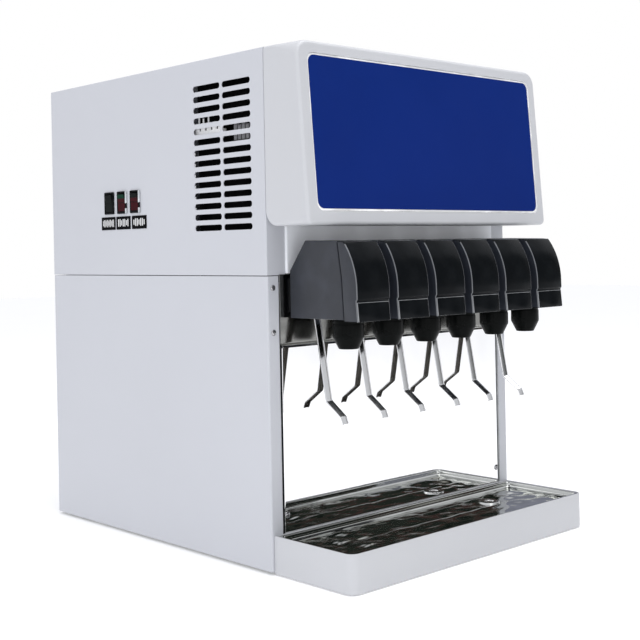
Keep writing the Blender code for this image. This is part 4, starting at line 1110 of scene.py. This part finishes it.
def wiring_duct():
    """White slotted duct with three tall fingers, and a terminal block, between the condenser and the air slots."""
    face = corners("condenser")[0].x - 0.0010

    def upright(near, far, front, back, bottom, top, radius):
        """A rounded block between two distances in front of the condenser's face."""
        return block((face - far, front, bottom), (face - near, back, top), radius, 2)

    strip = [upright(0.0012, 0.0060, 0.0905, 0.157, 0.5842, 0.5915, 0.0006)]
    for finger in range(5):
        depth = 0.0925 + 0.0129 * (finger + 0.5)
        strip.append(upright(0.0040, 0.0058, depth - 0.0049, depth + 0.0049, 0.5908, 0.6025, 0.0006))
    for depth, height in ((0.1500, 0.6125), (0.1400, 0.6095), (0.1285, 0.6115)):
        strip.append(upright(0.0018, 0.0030, depth - 0.0016, depth + 0.0016, 0.5990, height, 0.0005))
    add("wiring_duct", merged(*strip), "lamp_white")
    blocks = []
    for terminal in range(5):
        depth = 0.0320 + 0.0085 * terminal
        top = 0.5960 - 0.0025 * (terminal % 2)
        blocks.append(upright(0.0012, 0.0060, depth - 0.0034, depth + 0.0030, 0.5730, top, 0.0008))
    add("terminal_block", merged(*blocks), "terminal_grey")


def keep_cad_nodes():
    """Nodes whose CAD shape is right take the detailed materials."""
    finishes = {
        "galvanised": ["base_pan", "refrigeration_deck"],
        "insulation": ["water_bath_tank"],
        "copper": ["evaporator_coil"],
        "brushed_steel": ["carbonator_tank", "agitator_impeller"],
        "compressor_black": ["compressor", "fan_motor", "agitator_motor"],
        "black_satin": ["condenser_fan"],
        "lamp_white": ["led_light_bar"],
    }
    for finish, nodes in finishes.items():
        for node in nodes:
            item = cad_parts[node]
            item.data.materials.clear()
            item.data.materials.append(MATERIALS[finish])
            item.data.shade_smooth()
            item.data.set_sharp_from_angle(angle=math.radians(35))


# Stage, lights and camera

CAMERA_PLACE = Vector((-1.2361, -1.1542, 0.4229))
CAMERA_HEADING = math.radians(-43.168)
CAMERA_ROLL = math.radians(-1.117)
CAMERA_LENS = 65.08
CAMERA_SHIFT = -0.1107


def floor():
    """White paper that glows a little."""
    bm = bmesh.new()
    bmesh.ops.create_grid(bm, x_segments=4, y_segments=4, size=9)
    item = in_scene("studio_floor", mesh_from(bm))
    item.location = (0, 0, -0.0002)
    paper = Surface("studio_paper", (0.97, 0.97, 0.97), 0.9, Specular_IOR_Level=0.0, Emission_Strength=0.20,
                    Emission_Color=WHITE)
    paper.shade(paper.noise(1.2, 3), 0.01)
    item.data.materials.append(paper.material)


def softbox(name, place, aim, size, power):
    """Rectangular light that the camera doesn't see."""
    light = bpy.data.lights.new(name, "AREA")
    light.shape = "RECTANGLE"
    light.size, light.size_y = size
    light.energy = power
    item = in_scene(name, light)
    item.location = place
    item.rotation_euler = (Vector(aim) - Vector(place)).to_track_quat("-Z", "Y").to_euler()
    item.visible_camera = False


def sky_patch(tree, direction, centre, stretch, inner, outer):
    """1 in a soft-edged patch of the sky about this direction, 0 outside it."""
    value = direction
    for operation, amount in (("SUBTRACT", Vector(centre).normalized()), ("MULTIPLY", stretch), ("LENGTH", None)):
        step = tree.nodes.new("ShaderNodeVectorMath")
        step.operation = operation
        tree.links.new(value, step.inputs[0])
        if amount:
            step.inputs[1].default_value = amount
        value = step.outputs["Value" if operation == "LENGTH" else "Vector"]
    edge = tree.nodes.new("ShaderNodeMapRange")
    edge.interpolation_type = "SMOOTHSTEP"
    return wire(edge, Value=value, From_Min=inner, From_Max=outer, To_Min=1.0, To_Max=0.0).outputs["Result"]


def room_view(tree, direction):
    """The dim room that the steel mirrors: cloudy patches, mostly dark, some of them brown or pale."""
    patches = wire(tree.nodes.new("ShaderNodeTexNoise"), Vector=direction, Scale=5.0, Detail=4.0)
    room = wire(tree.nodes.new("ShaderNodeValToRGB"), Fac=patches.outputs[0])
    tones = ((0.36, (0.008, 0.012, 0.010)), (0.71, (0.62, 0.61, 0.58)), (0.50, (0.030, 0.036, 0.030)),
             (0.55, (0.060, 0.028, 0.026)), (0.58, (0.055, 0.056, 0.050)), (0.63, (0.24, 0.24, 0.22)))
    stops = room.color_ramp.elements
    for number, (position, colour) in enumerate(tones):
        stop = stops[number] if number < 2 else stops.new(position)
        stop.position = position
        stop.color = (*colour, 1)
    return room.outputs["Color"]


def studio():
    """A bright cyclorama, greyer in front and behind, with a dim room low to the front right.

    The camera itself sees plain white.
    """
    world = bpy.data.worlds.new("studio")
    bpy.context.scene.world = world
    world.use_nodes = True
    tree = world.node_tree
    tree.nodes.clear()
    direction = tree.nodes.new("ShaderNodeTexCoord").outputs["Generated"]
    colour = (0.93, 0.94, 0.98, 1)
    for centre, stretch, inner, outer, tone in (
            ((0.30, -0.92, 0.35), (1, 1, 1), 0.55, 1.10, (0.66, 0.67, 0.70, 1)),
            ((0.73, 0.66, 0.22), (1, 1, 1.5), 0.30, 0.55, (0.26, 0.27, 0.33, 1)),
            ((0.72, -0.68, 0.19), (1, 1, 1.35), 0.40, 0.56, room_view(tree, direction))):
        mix = tree.nodes.new("ShaderNodeMix")
        mix.data_type = "RGBA"
        patch = sky_patch(tree, direction, centre, stretch, inner, outer)
        colour = wire(mix, Factor=patch, A=colour, B=tone).outputs["Result"]
    lit = wire(tree.nodes.new("ShaderNodeBackground"), Color=colour, Strength=0.97)
    backdrop = wire(tree.nodes.new("ShaderNodeBackground"), Color=WHITE, Strength=1.0)
    ray = tree.nodes.new("ShaderNodeLightPath")
    choose = wire(tree.nodes.new("ShaderNodeMixShader"), Fac=ray.outputs["Is Camera Ray"])
    tree.links.new(lit.outputs["Background"], choose.inputs[1])
    tree.links.new(backdrop.outputs["Background"], choose.inputs[2])
    wire(tree.nodes.new("ShaderNodeOutputWorld"), Surface=choose.outputs["Shader"])


def camera():
    """A long lens about 1.7 m from the cabinet, off its front left corner."""
    data = bpy.data.cameras.new("camera")
    data.sensor_width = 36
    data.lens = CAMERA_LENS
    data.shift_y = CAMERA_SHIFT
    item = in_scene("camera", data)
    turn = (Matrix.Rotation(CAMERA_HEADING, 4, "Z") @ Matrix.Rotation(math.pi / 2, 4, "X")
            @ Matrix.Rotation(CAMERA_ROLL, 4, "Z"))
    item.matrix_world = Matrix.Translation(ORIGIN + CAMERA_PLACE) @ turn
    bpy.context.scene.camera = item


camera()
studio()
floor()
softbox("key", place=(-1.6, -1.9, 2.1), aim=(0, 0, 0.4), size=(1.4, 1.0), power=5)
softbox("top", place=(0.2, -0.6, 2.4), aim=(0, -0.1, 0.2), size=(2.0, 1.2), power=24)
softbox("fill", place=(-0.9, -2.0, 0.40), aim=(0, -0.1, 0.4), size=(1.2, 0.5), power=2)
bpy.context.scene.view_settings.view_transform = "Standard"

side_panels()
shroud()
upper_panels()
mounting_plate()
backsplash()
tray_surround()
drip_pan()
drain_fitting()
hood()
valves()
switches()
screws()
power_inlet()
feet()
condenser()
wiring_duct()
keep_cad_nodes()
